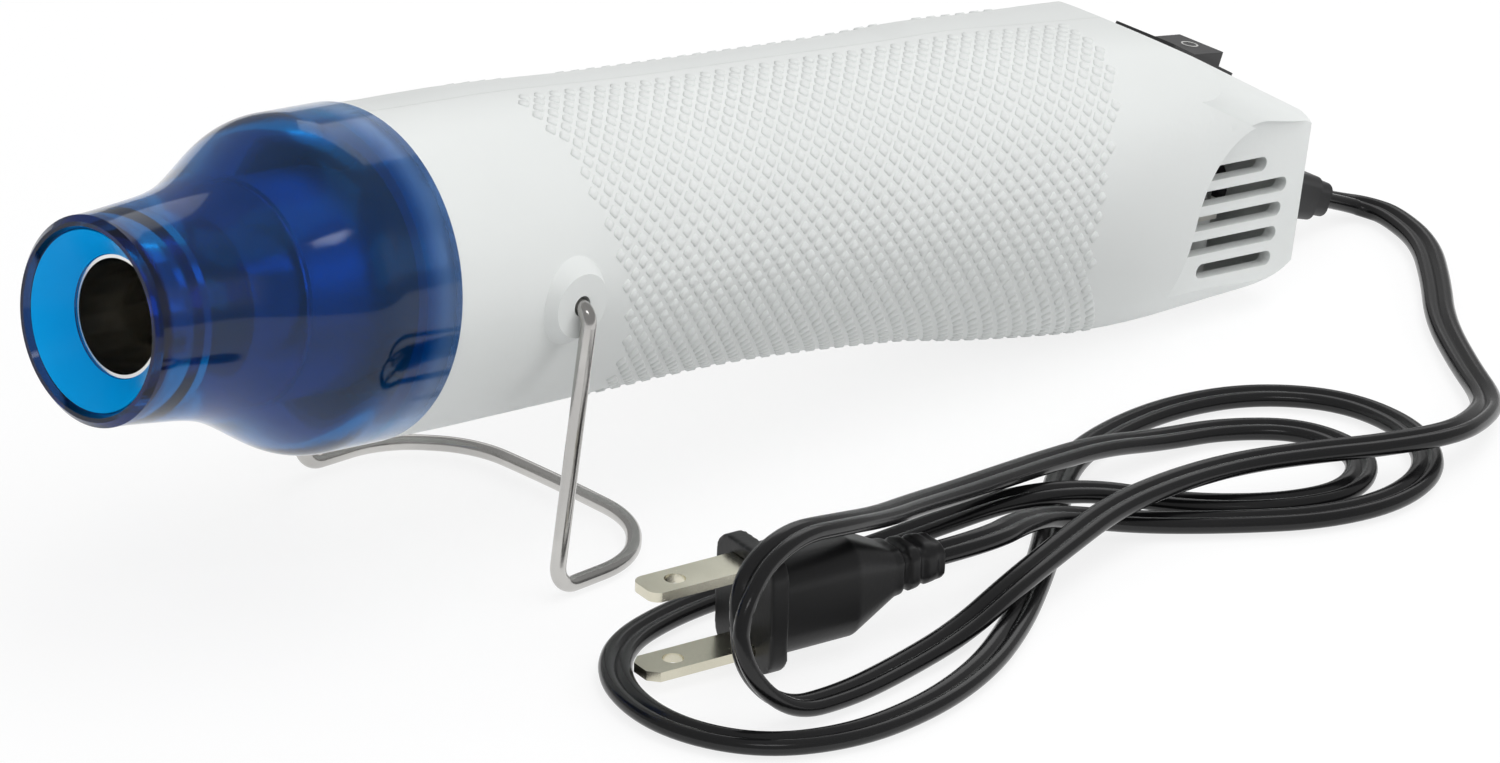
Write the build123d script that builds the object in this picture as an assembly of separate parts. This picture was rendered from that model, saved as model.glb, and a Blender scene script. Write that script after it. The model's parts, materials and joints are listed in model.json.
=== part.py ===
from build123d import *
import math
import os

# An embossing heat tool: a small hot-air gun with a wire stand, a rear rocker switch, a flat cord and a plug.
# Each piece is drawn in the tool's own frame: X runs from the nozzle's tip along its axis to the rear, Z is up
# and the left side is -Y. At the end the tool is tipped nose up, as it leans on its stand, and set on z = 0.

# Whole tool
tool_length = 239.0
barrel_radius = 25.0
shell_wall = 2.2
fit_gap = 0.15
moving_gap = 0.35
pin_gap = 0.05
overrun = 6.0

# Nozzle cap
cap_length = 49.4
cap_band_length = 10.6
cap_wall = 2.3
lip_radius = 15.3
lip_wall = 2.0
lip_round = 0.9
funnel_depth = 5.8
sleeve_length = 21.0
sleeve_wall = 1.6
cap_hollow_start = 11.0
cap_flare_shares = ((0.18, 0.632), (0.39, 0.690), (0.53, 0.800), (0.655, 0.932))

# Steel outlet and heater
outlet_bore_radius = 8.4
outlet_wall = 0.5
outlet_length = 21.6
outlet_flange_radius = 15.2
outlet_flange = 0.8
heater_radius = 16.2
heater_wall = 0.6
heater_length = 58.0
mica_wall = 0.7
mica_end = 4.0
mica_plate = 0.8
mica_former_radius = 11.4
mica_tail = 5.0
mica_cross_inset = 5.0
coil_wire_radius = 0.45
coil_turns = 10
coil_margin = 5.5
base_disc = 1.2
vent_radius = 2.8
vent_place_share = 0.62
vent_count = 6
thermostat_size = (7.0, 4.0, 9.0)
thermostat_corner = 0.8
fuse_radius = 1.4
fuse_length = 10.0
fuse_offset = 7.0
ring_thickness = 3.0
ring_radius = 19.6
ring_inset = 3.5
ring_spacing = 27.0

# Shells
spigot_length = 5.6
spigot_wall = 1.8
front_rim = 4.0
station_shares = (
    (0.000, 0.988, 0.988, 0.988, 2.0),
    (0.118, 0.976, 0.968, 0.992, 2.0),
    (0.218, 0.956, 0.932, 0.980, 2.0),
    (0.319, 0.932, 0.896, 0.968, 2.0),
    (0.430, 0.912, 0.872, 0.988, 2.0),
    (0.530, 0.912, 0.848, 1.040, 2.0),
    (0.609, 0.920, 0.836, 1.088, 2.1),
    (0.689, 0.932, 0.808, 1.170, 2.2),
    (0.752, 0.936, 0.772, 1.216, 2.3),
    (0.815, 0.924, 0.740, 1.236, 2.5),
    (0.873, 0.888, 0.700, 1.196, 2.9),
    (0.931, 0.864, 0.680, 1.112, 3.7),
    (1.000, 0.840, 0.660, 1.010, 4.0),
)
station_points = 20
slope_angle = 24.4
slope_end_height = 3.6
slope_half_width = 20.5
slope_corner_radius = 6.0
slope_cut_length = 60.0
slope_cut_height = 40.0
panel_half_width = 18.2
panel_front = 210.3
panel_top_front = 8.0
panel_top_rear = 1.4
panel_corner_radius = 14.0
slot_height = 2.4
slot_pitch = 4.05
slot_top = -3.1
slot_rears = (229.6, 235.0, 234.5, 234.2, 233.8)
slot_last_front = 216.6
post_radius = 3.2
front_post_setback = 8.8
front_post_heights = (14.5, -15.0)
rear_posts = ((67.0, 12.0), (57.0, -20.0))
screw_radius = 1.2
screw_head_radius = 2.6
screw_head = 2.0
screw_seat = 12.0
screw_length = 20.0
wire_channel_width = 7.0

# Stand and its bosses
stand_wire_radius = 1.2
pivot_place = 72.5
boss_reach = 26.2
boss_face_radius = 4.9
boss_base_radius = 7.2
boss_hole_radius = 1.55
stand_half_width = 27.9
stand_leg = 43.6
stand_bend = 2.6
stand_foot_bend = 3.6
stand_pin_length = 6.0
foot_depth = 26.2
foot_corner_share = 0.62
foot_side_share = 0.98
foot_crown_share = 1.02
belly_share = 0.815

# Fan and motor
duct_setback = 13.8
duct_length = 24.0
duct_radius = 18.9
duct_wall = 1.3
vane_count = 5
vane_thickness = 1.3
vane_length = 6.0
fan_radius = 17.0
fan_hub_radius = 6.0
fan_length = 11.0
fan_inset = 3.0
blade_count = 6
blade_thickness = 1.4
blade_twist = 32.0
motor_radius = 10.2
motor_length = 26.0
motor_wall = 0.9
motor_gap = 2.0
cup_wall = 1.6
bush_radius = 2.6
bush_length = 2.4
shaft_radius = 1.0
magnet_wall = 1.9
magnet_sweep = 130.0
armature_radius = 6.6
armature_length = 13.0
commutator_radius = 2.4
commutator_length = 5.0
endbell_length = 4.0
board_radius = 11.0
board_thickness = 1.4
board_gap = 4.4
terminal_radius = 0.6
terminal_offset = 6.8
diode_radius = 1.35
diode_length = 5.2
diode_spacing = 4.2
capacitor_radius = 3.0
capacitor_length = 8.0
capacitor_corner = 0.6
capacitor_offset = 6.4

# Rocker switch
switch_setback = 14.4
bezel_half_length = 8.9
bezel_half_width = 6.3
bezel_height = 0.9
bezel_corner = 1.2
switch_half_length = 8.2
switch_half_width = 5.6
switch_depth = 10.0
switch_wall = 0.7
rocker_half_length = 6.8
rocker_half_width = 4.7
rocker_end_height = 2.2
rocker_dip_height = 1.0
rocker_skirt = 2.0
rocker_pivot_depth = 3.0
rocker_drum_radius = 2.0
rocker_pin_radius = 0.75
rocker_throw = 10.0
tab_width = 4.8
tab_thickness = 0.8
tab_length = 7.0
tab_spacing = 8.0

# Strain relief, cord clamp and wires
relief_height = -12.6
relief_droop = 15.5
relief_length = 27.0
relief_root_size = 9.4
relief_tip_size = 7.2
relief_corner = 1.6
relief_nose_length = 4.0
relief_nose_size = 5.6
relief_neck_radius = 3.4
relief_flange_radius = 5.0
relief_flange = 2.0
clamp_length = 5.0
clamp_width = 20.0
clamp_height = 3.0
clamp_corner = 1.0
clamp_gap = 5.0
clamp_boss_radius = 2.6
clamp_screw_spacing = 14.0
clamp_screw_radius = 1.1
lead_radius = 0.8
lead_offset = 1.6
wire_drop = 4.0
wire_end_offset = 5.0
wire_end_height = -9.0
wire_far_run = 16.0
wire_near_run = 8.0
bend_share = 0.45

# Cord, from the strain relief's nose to the plug, as points on the table in the finished part's own frame
cord_radius = 1.6
lead_route = (
    (145.0, -4.2, 1.7), (148.2, -13.2, 1.7), (144.0, -25.0, 1.7), (133.5, -36.5, 1.7), (122.0, -47.5, 1.7),
    (110.5, -60.0, 1.7), (98.5, -70.0, 2.4))
lead_first_run = 7.1
hank_start = (87.3, -74.2, 4.3)
hank_route = (
    (76.2, -78.4, 6.2), (64.0, -75.6, 6.6), (53.0, -71.0, 6.8), (41.0, -67.0, 7.0), (27.5, -66.4, 7.6),
    (13.5, -67.0, 7.4), (-1.0, -70.5, 6.4), (-14.5, -74.0, 5.4), (-28.0, -76.6, 2.6), (-42.0, -78.4, 1.7),
    (-55.0, -80.0, 1.7), (-67.5, -80.2, 2.9), (-75.0, -77.6, 12.0), (-71.0, -74.2, 22.2), (-59.5, -71.6, 25.4),
    (-46.5, -69.2, 22.4), (-34.5, -65.5, 18.8), (-22.5, -61.0, 15.8), (-10.0, -57.0, 12.8), (3.5, -53.6, 10.4),
    (17.5, -50.0, 7.8), (31.0, -47.6, 5.6), (44.5, -47.0, 2.6), (57.5, -48.5, 1.7), (67.5, -56.5, 1.7),
    (67.5, -69.0, 1.7), (57.0, -76.6, 1.7), (44.5, -73.8, 1.7), (32.0, -64.2, 1.7), (20.0, -57.4, 5.0),
    (6.5, -53.5, 6.2), (-8.0, -49.6, 3.8), (-23.0, -46.0, 1.7), (-39.0, -44.4, 1.7), (-55.0, -44.0, 1.7),
    (-69.5, -47.5, 1.7), (-79.0, -57.5, 1.7), (-82.0, -71.5, 1.7), (-76.5, -84.0, 1.7), (-64.0, -90.0, 1.7),
    (-48.5, -90.0, 1.7), (-33.0, -86.0, 1.7), (-18.5, -78.5, 1.7), (-5.5, -69.8, 1.7), (7.0, -60.6, 1.7),
    (18.0, -51.0, 1.7), (29.5, -42.5, 1.7), (43.5, -38.5, 1.7), (58.0, -38.0, 1.7), (71.5, -42.5, 1.7),
    (80.5, -53.0, 1.7), (80.5, -67.0, 1.7), (72.5, -78.5, 1.7), (59.5, -83.0, 1.7), (45.5, -80.6, 1.7),
    (32.5, -72.6, 1.7), (20.0, -64.6, 2.2), (7.5, -61.6, 5.8), (-3.8, -65.2, 9.4))
plug_run = 10.0

# Plug: its place is the middle of its front face, and its axis runs back from there to the cord
plug_place = (-56.9, -60.5, 9.4)
plug_axis = (0.98, -0.19, 0.03)
plug_length = 33.0
plug_flange = 3.0
plug_flange_height = 18.6
plug_flange_width = 15.0
plug_flange_corner = 3.5
plug_body_height = 15.6
plug_body_width = 12.8
plug_body_corner = 4.5
plug_body_length = 13.0
plug_taper = 8.0
plug_neck_height = 7.4
plug_neck_width = 8.4
plug_neck_corner = 2.2
plug_neck_waist = 1.4
rib_count = 3
rib_gap = 1.2
rib_depth = 0.9
blade_pitch = 12.7
blade_width = 6.35
blade_thick = 1.5
blade_length = 17.5
blade_root = 5.0
blade_hole_place = 11.9
blade_hole_radius = 1.6
blade_tip_cut = 1.5
blade_tip_round = 1.9

body_front = cap_length + fit_gap
spigot_radius = barrel_radius - cap_wall - fit_gap
slope_run = math.tan(math.radians(slope_angle))
heater_front = funnel_depth + outlet_length + outlet_flange
heater_rear = heater_front + heater_length
mica_radius = heater_radius - heater_wall - fit_gap
mica_front = heater_front + fit_gap
cross_front = mica_front + mica_cross_inset
cross_rear = heater_rear + fit_gap - mica_tail
cross_reach = mica_radius - mica_wall - fit_gap
duct_front = heater_rear + duct_setback
motor_front = duct_front + duct_length - vane_length + motor_gap
motor_rear = motor_front + motor_length
post_places = [(heater_rear + front_post_setback, height) for height in front_post_heights]
post_places += [(tool_length - setback, height) for setback, height in rear_posts]


def rod(front, rear, radius, y=0.0, z=0.0):
    """A cylinder along the tool's axis, or beside it."""
    return Pos(front, y, z) * Rot(0, 90, 0) * Cylinder(
        radius, rear - front, align=(Align.CENTER, Align.CENTER, Align.MIN))


def tube(front, rear, radius, wall):
    """A round pipe along the tool's axis."""
    return rod(front, rear, radius) - rod(front - overrun, rear + overrun, radius - wall)


def cross_rod(u, z, radius, near, far):
    """A cylinder that runs across the tool from y = near to y = far."""
    return Pos(u, near, z) * Rot(-90, 0, 0) * Cylinder(
        radius, far - near, align=(Align.CENTER, Align.CENTER, Align.MIN))


def block(low, high):
    """A box between two corners."""
    size = [high[i] - low[i] for i in range(3)]
    centre = [(high[i] + low[i]) / 2 for i in range(3)]
    return Pos(*centre) * Box(*size)


def turned(outline):
    """A solid of revolution about the tool's axis, from points given as (place, radius)."""
    return revolve(make_face(Polyline(*outline, close=True)), Axis.X)


def section(place, half_width, top, bottom, power):
    """One closed section of the handle, rounder or squarer with its power."""
    points = []
    for i in range(station_points):
        angle = 2 * math.pi * i / station_points
        across, up = math.cos(angle), math.sin(angle)
        y = half_width * math.copysign(abs(across) ** (2 / power), across)
        z = (top if up > 0 else bottom) * math.copysign(abs(up) ** (2 / power), up)
        points.append((place, y, z))
    return Face(Wire(Spline(*points, periodic=True)))


def handle(inset):
    """The handle's outer form, or the same form drawn in by a wall."""
    sections = []
    for place, width, top, bottom, power in station_shares:
        radius = barrel_radius
        sections.append(section(body_front + place * (tool_length - body_front), width * radius - inset,
                                top * radius - inset, bottom * radius - inset, power))
    return loft(sections)


def slope_plane():
    """The sloping rear deck, with its origin under the rocker and its X axis down the slope to the rear."""
    slope = math.radians(slope_angle)
    run = switch_setback
    place = tool_length - run
    height = slope_end_height + run * slope_run
    return Plane(origin=(place, 0, height), x_dir=(math.cos(slope), 0, -math.sin(slope)),
                 z_dir=(math.sin(slope), 0, math.cos(slope)))


def slope_cutter(inset):
    """What the sloping rear deck takes off the handle, with the deck's long edges rounded."""
    above = Pos(0, 0, -slope_corner_radius) * Box(
        2 * slope_cut_length, 2 * slope_cut_height, slope_cut_height,
        align=(Align.CENTER, Align.CENTER, Align.MIN))
    keep = Box(2 * slope_cut_length + overrun, 2 * (slope_half_width - inset), 2 * slope_corner_radius,
               align=(Align.CENTER, Align.CENTER, Align.MAX))
    keep = fillet(keep.edges().filter_by(Axis.X).group_by(Axis.Z)[-1], slope_corner_radius)
    return slope_plane() * Pos(0, 0, -inset) * (above - keep)


def panel_cutter(side, inset):
    """The flat recess in one side of the rear, from a curved front edge to past the end."""
    floor = 2 * barrel_radius
    end = tool_length + overrun
    outline = make_face(Polyline((panel_front, -floor), (panel_front, panel_top_front),
                                 (end, panel_top_rear), (end, -floor), close=True))
    corner = outline.vertices().sort_by(Axis.Y)[-1]
    outline = fillet(corner, panel_corner_radius)
    depth = panel_half_width - inset
    slab = extrude(Plane.XZ * outline, amount=floor, both=True)
    beyond = block((panel_front - overrun, depth, -floor), (end + overrun, floor, floor))
    if side < 0:
        beyond = block((panel_front - overrun, -floor, -floor), (end + overrun, -depth, floor))
    return slab & beyond


def boss(side):
    """One round stand boss, seated in the handle's wall and drilled for the wire."""
    reach = barrel_radius - shell_wall
    profile = turned([(reach, 0), (boss_reach, 0), (boss_reach, boss_face_radius), (reach, boss_base_radius)])
    return Pos(pivot_place, 0, 0) * Rot(0, 0, side * 90) * profile


def solid_of(shape):
    """The largest solid of a result, without any stray sliver."""
    return shape.solids().sort_by(SortBy.VOLUME)[-1]


def side_slot(row, rear, side):
    """One cooling slot with round ends through the flat panel on one side."""
    last = row == len(slot_rears) - 1
    front = slot_last_front if last else panel_front + slot_height
    middle = slot_top - row * slot_pitch
    outline = Pos((front + rear) / 2, middle) * SlotOverall(rear - front, slot_height)
    near = panel_half_width - shell_wall - fit_gap
    far = panel_half_width + overrun / 2
    plane = Plane(origin=(0, side * near, 0), x_dir=(1, 0, 0), z_dir=(0, side, 0))
    if side > 0:
        outline = mirror(outline, Plane.XZ)
    return extrude(plane * outline, amount=far - near)


def shell_seats():
    """Where the shells' inner ribs stand, as (front, length, bore) for each rib."""
    seats = [(heater_rear - ring_inset - ring_thickness - step * ring_spacing, ring_thickness, ring_radius)
             for step in (0, 1)]
    seats.append((duct_front, shell_wall, duct_radius))
    seats.append((duct_front + duct_length - shell_wall, shell_wall, duct_radius))
    return seats


def shells():
    """The handle as two shells that meet on the tool's middle plane, with ribs, posts, slots and seats."""
    width = 3 * barrel_radius
    panels = [panel_cutter(side, 0.0) for side in (-1, 1)]
    inner_panels = [panel_cutter(side, shell_wall) for side in (-1, 1)]
    rear_stop = block((tool_length - shell_wall, -width, -width), (tool_length + width, width, width))
    front_stop = block((0, -width, -width), (body_front + front_rim, width, width))
    cable_way = block((body_front, -wire_channel_width / 2, -width),
                      (tool_length, wire_channel_width / 2, -duct_radius + shell_wall))
    inserts = [cross_rod(u, z, post_radius, -width, width) for u, z in post_places] + clamp_seats()
    for front, length, radius in shell_seats():
        slab = block((front, -width, -width), (front + length, width, width))
        inserts.append(slab - [rod(front - overrun, front + length + overrun, radius + fit_gap), cable_way])
    hollow = handle(shell_wall) - ([slope_cutter(shell_wall), rear_stop, front_stop] + inner_panels)
    hollow = hollow - inserts
    outer = handle(0.0) - ([slope_cutter(0.0)] + panels)
    outer = outer + [boss(-1), boss(1), rod(body_front - spigot_length, body_front + front_rim / 2,
                                            spigot_radius)]
    deck = slope_plane()
    cuts = [hollow, rod(0, body_front + front_rim + overrun / 2, spigot_radius - spigot_wall),
            cross_rod(pivot_place, 0, boss_hole_radius, -width, width),
            rod(tool_length - shell_wall - overrun, tool_length + overrun, relief_neck_radius + fit_gap,
                0, relief_height),
            deck * Box(2 * (switch_half_length + fit_gap), 2 * (switch_half_width + fit_gap),
                       2 * switch_depth)]
    for u, z in post_places:
        cuts.append(cross_rod(u, z, screw_radius + pin_gap, screw_seat - screw_length - fit_gap, screw_seat))
        cuts.append(cross_rod(u, z, screw_head_radius + fit_gap, screw_seat, width))
    for row, rear in enumerate(slot_rears):
        cuts += [side_slot(row, rear, side) for side in (-1, 1)]
    walls = outer - cuts
    left = solid_of(walls & block((0, -width, -width), (tool_length + width, 0, width)))
    right = solid_of(walls & block((0, 0, -width), (tool_length + width, width, width)))
    return left, right


def clamp_place():
    """Where the cord clamp's middle lies, in front of the strain relief's inner flange."""
    return tool_length - shell_wall - relief_flange - clamp_gap - clamp_length / 2


def clamp_seats():
    """Two drilled bosses that rise from the handle's floor under the cord clamp."""
    top = relief_height - clamp_height / 2 - lead_radius
    seats = []
    for side in (-1, 1):
        spot = Pos(clamp_place(), side * clamp_screw_spacing / 2, top)
        column = Cylinder(clamp_boss_radius, barrel_radius, align=(Align.CENTER, Align.CENTER, Align.MAX))
        pilot = Cylinder(clamp_screw_radius + pin_gap, clamp_height + overrun / 2,
                         align=(Align.CENTER, Align.CENTER, Align.MAX))
        seats.append(spot * (column - pilot))
    return seats


def cord_clamp():
    """A flat bar across the inner cord, with two screws into the handle's bosses."""
    base = relief_height - clamp_height / 2 - lead_radius
    bar = Pos(clamp_place(), 0, base) * Box(clamp_length, clamp_width, clamp_height,
                                            align=(Align.CENTER, Align.CENTER, Align.MIN))
    bar = fillet(bar.edges().filter_by(Axis.Z), clamp_corner)
    screws = []
    for side in (-1, 1):
        spot = Pos(clamp_place(), side * clamp_screw_spacing / 2, base)
        bar = bar - spot * Cylinder(clamp_screw_radius + pin_gap, 3 * clamp_height)
        shank = spot * Pos(0, 0, -clamp_height) * Cylinder(
            clamp_screw_radius, 2 * clamp_height, align=(Align.CENTER, Align.CENTER, Align.MIN))
        head = spot * Pos(0, 0, clamp_height) * Cylinder(
            2 * clamp_screw_radius, clamp_screw_radius, align=(Align.CENTER, Align.CENTER, Align.MIN))
        screws.append(shank + head)
    for side in (-1, 1):
        bar = bar - rod(0, 2 * tool_length, lead_radius + pin_gap, side * lead_offset, base)
    return bar, screws


def nozzle_cap():
    """The flared, see-through cap: a lip, a funnel, an inner sleeve and a band that fits the shells."""
    def flare(drop, start):
        return [(place * cap_length, radius * barrel_radius - drop)
                for place, radius in cap_flare_shares if place * cap_length > start]
    shoulder = cap_length - cap_band_length
    outer_line = Spline([(lip_round, lip_radius)] + flare(0.0, 0.0) + [(shoulder, barrel_radius)],
                        tangents=[(1, 0), (1, 0)])
    outline = [
        outer_line,
        Line((shoulder, barrel_radius), (cap_length, barrel_radius)),
        Polyline((cap_length, barrel_radius), (cap_length, 0), (0, 0), (0, lip_radius - lip_round)),
        Line((0, lip_radius - lip_round), (lip_round, lip_radius)),
    ]
    body = revolve(make_face(outline), Axis.X)
    bore = heater_clear_radius()
    inner = barrel_radius - cap_wall
    points = flare(cap_wall, cap_hollow_start)
    hollow_line = Spline([(cap_hollow_start, lip_radius - cap_wall)] + points + [(shoulder, inner)],
                         tangents=[(1, 0), (1, 0)])
    hollow = revolve(make_face([
        hollow_line,
        Polyline((shoulder, inner), (cap_length + overrun, inner), (cap_length + overrun, 0),
                 (cap_hollow_start, 0), (cap_hollow_start, lip_radius - cap_wall))]), Axis.X)
    sleeve = rod(0, sleeve_length, bore + sleeve_wall)
    hollow = hollow - sleeve
    mouth = lip_radius - lip_wall
    funnel = turned([(-overrun, 0), (-overrun, mouth + lip_round), (0, mouth + lip_round / 2),
                     (lip_round, mouth), (funnel_depth, bore), (funnel_depth, 0)])
    return solid_of(body - hollow - funnel - rod(0, 2 * sleeve_length, bore))


def heater_clear_radius():
    """The cap sleeve's bore, which the steel outlet fits."""
    return outlet_bore_radius + outlet_wall + fit_gap


def heater():
    """The steel outlet and barrel with the mica, the coil and the heat guards in them."""
    outlet_radius = outlet_bore_radius + outlet_wall
    outlet_end = funnel_depth + outlet_length
    outlet = tube(funnel_depth, outlet_end, outlet_radius, outlet_wall)
    outlet += tube(outlet_end, outlet_end + outlet_flange, outlet_flange_radius + heater_wall,
                   outlet_flange_radius + heater_wall - outlet_bore_radius)
    barrel = tube(heater_front, heater_rear, heater_radius, heater_wall)
    sleeve = tube(mica_front, cross_rear + mica_end, mica_radius, mica_wall)
    cross = None
    for turn in (0, 90):
        plate = block((cross_front, -mica_former_radius, -mica_plate / 2),
                      (cross_rear, mica_former_radius, mica_plate / 2))
        for end in (cross_front, cross_rear - mica_end):
            plate += block((end, -cross_reach, -mica_plate / 2), (end + mica_end, cross_reach, mica_plate / 2))
        plate = Rot(turn, 0, 0) * plate
        cross = plate if cross is None else cross + plate
    coil_height = cross_rear - cross_front - 2 * coil_margin
    coil_radius = mica_former_radius + coil_wire_radius + fit_gap
    path = Pos(cross_front + coil_margin, 0, 0) * Rot(0, 90, 0) * Helix(
        coil_height / coil_turns, coil_height, coil_radius)
    coil = sweep(Plane(origin=path @ 0, z_dir=path % 0) * Circle(coil_wire_radius), path, is_frenet=True)
    disc = rod(cross_rear + fit_gap, cross_rear + fit_gap + base_disc, cross_reach)
    disc_face = cross_rear + fit_gap + base_disc
    for turn in range(vent_count):
        hole = rod(cross_rear - overrun, disc_face + overrun, vent_radius, cross_reach * vent_place_share, 0)
        disc = disc - Rot((turn + 0.5) * 360 / vent_count, 0, 0) * hole
    long, wide, tall = thermostat_size
    thermostat = block((disc_face, -wide / 2, -tall / 2), (disc_face + long, wide / 2, tall / 2))
    thermostat = fillet(thermostat.edges().filter_by(Axis.X), thermostat_corner)
    fuse = rod(disc_face, disc_face + fuse_length, fuse_radius, 0, -fuse_offset)
    fuse = fillet(fuse.edges().group_by(Axis.X)[-1], fuse_radius / 2)
    rings = []
    for step in (0, 1):
        front = heater_rear - ring_inset - ring_thickness - step * ring_spacing
        rings.append(tube(front, front + ring_thickness, ring_radius, ring_radius - heater_radius - fit_gap))
    return {"outlet_tube": outlet, "heater_barrel": barrel, "mica_sleeve": sleeve, "mica_cross": cross,
            "heating_coil": coil, "heater_base_disc": disc, "thermostat": thermostat,
            "thermal_fuse": fuse, "barrel_rings": rings}


def fan_and_motor():
    """The duct with its motor cup, the motor's fixed pieces, and the rotor that turns in them."""
    duct_rear = duct_front + duct_length
    cup_front = duct_rear - vane_length
    cup_radius = motor_radius + fit_gap + cup_wall
    duct = tube(duct_front, duct_rear, duct_radius, duct_wall)
    duct += tube(cup_front, duct_rear, cup_radius, cup_wall)
    for turn in range(vane_count):
        vane = block((cup_front, -vane_thickness / 2, cup_radius - cup_wall / 2),
                     (duct_rear, vane_thickness / 2, duct_radius - duct_wall / 2))
        duct += Rot(360 / vane_count * turn, 0, 0) * vane
    can = rod(motor_front, motor_rear - endbell_length, motor_radius) - rod(
        motor_front + motor_wall, motor_rear, motor_radius - motor_wall)
    can -= rod(motor_front - overrun, motor_front + overrun, bush_radius)
    endbell = rod(motor_rear - endbell_length, motor_rear, motor_radius)
    endbell -= rod(motor_rear - endbell_length - overrun, motor_rear - motor_wall,
                   motor_radius - motor_wall)
    endbell -= rod(motor_front, motor_rear + overrun, bush_radius)
    bushes = [tube(motor_front, motor_front + bush_length, bush_radius, bush_radius - shaft_radius - pin_gap),
              tube(motor_rear - bush_length, motor_rear, bush_radius,
                   bush_radius - shaft_radius - pin_gap)]
    magnets = []
    inner_magnet = motor_radius - motor_wall - magnet_wall
    for turn in (0, 180):
        arc = tube(motor_front + motor_wall + fit_gap + bush_length, motor_rear - endbell_length - fit_gap,
                   motor_radius - motor_wall, magnet_wall)
        wedge = make_face(Polyline((0, 0), (barrel_radius * math.cos(math.radians(magnet_sweep / 2)),
                                            barrel_radius * math.sin(math.radians(magnet_sweep / 2))),
                                   (barrel_radius * math.cos(math.radians(magnet_sweep / 2)),
                                    -barrel_radius * math.sin(math.radians(magnet_sweep / 2))), close=True))
        keep = extrude(Plane.YZ * wedge, amount=tool_length)
        magnets.append(Rot(turn, 0, 0) * (arc & keep))
    shaft = rod(duct_front + fan_inset, motor_rear + bush_length, shaft_radius)
    core_front = motor_front + motor_wall + bush_length + 2 * moving_gap
    core = tube(core_front, core_front + armature_length, armature_radius, armature_radius - shaft_radius)
    for turn in range(3):
        slot = block((core_front - overrun, -shaft_radius / 2, armature_radius / 2),
                     (core_front + armature_length + overrun, shaft_radius / 2, 2 * armature_radius))
        core -= Rot(120 * turn, 0, 0) * slot
    commutator = tube(core_front + armature_length, core_front + armature_length + commutator_length / 2,
                      commutator_radius, commutator_radius - shaft_radius)
    fan_front = duct_front + fan_inset
    hub = tube(fan_front, fan_front + fan_length, fan_hub_radius, fan_hub_radius - shaft_radius)
    for turn in range(blade_count):
        blade = Box(fan_length - blade_thickness * 2, blade_thickness, fan_radius - fan_hub_radius / 2,
                    align=(Align.CENTER, Align.CENTER, Align.MIN))
        blade = Rot(0, 0, blade_twist) * blade
        blade = Pos(fan_front + fan_length / 2, 0, fan_hub_radius / 2) * blade
        hub += Rot(360 / blade_count * turn, 0, 0) * blade
    fan = hub & rod(fan_front, fan_front + fan_length, fan_radius)
    fan -= rod(fan_front - overrun, fan_front + fan_length + overrun, shaft_radius)
    return {"fan_duct": duct, "motor_can": can, "motor_endbell": endbell, "motor_bushes": bushes,
            "motor_magnets": magnets, "motor_shaft": shaft, "armature": core + commutator,
            "fan_impeller": fan}


def rectifier():
    """The small round board behind the motor, its posts, four diodes and a capacitor."""
    front = motor_rear + board_gap
    rear = front + board_thickness
    board = rod(front, rear, board_radius) - rod(front - overrun, rear + overrun, bush_radius)
    posts = [rod(motor_rear, rear + terminal_radius, terminal_radius, side * terminal_offset, 0)
             for side in (-1, 1)]
    for side in (-1, 1):
        board -= rod(front - overrun, rear + overrun, terminal_radius + pin_gap, side * terminal_offset, 0)
    diodes = []
    for row in range(4):
        y = (row - 1.5) * diode_spacing
        body = Pos(rear + diode_radius, y, capacitor_offset) * Cylinder(diode_radius, diode_length)
        diodes.append(body)
    can = rod(rear, rear + capacitor_length, capacitor_radius, 0, -capacitor_offset)
    can = fillet(can.edges().group_by(Axis.X)[-1], capacitor_corner)
    return {"rectifier_board": board, "motor_terminals": posts, "rectifier_diodes": diodes,
            "motor_capacitor": can}


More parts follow.
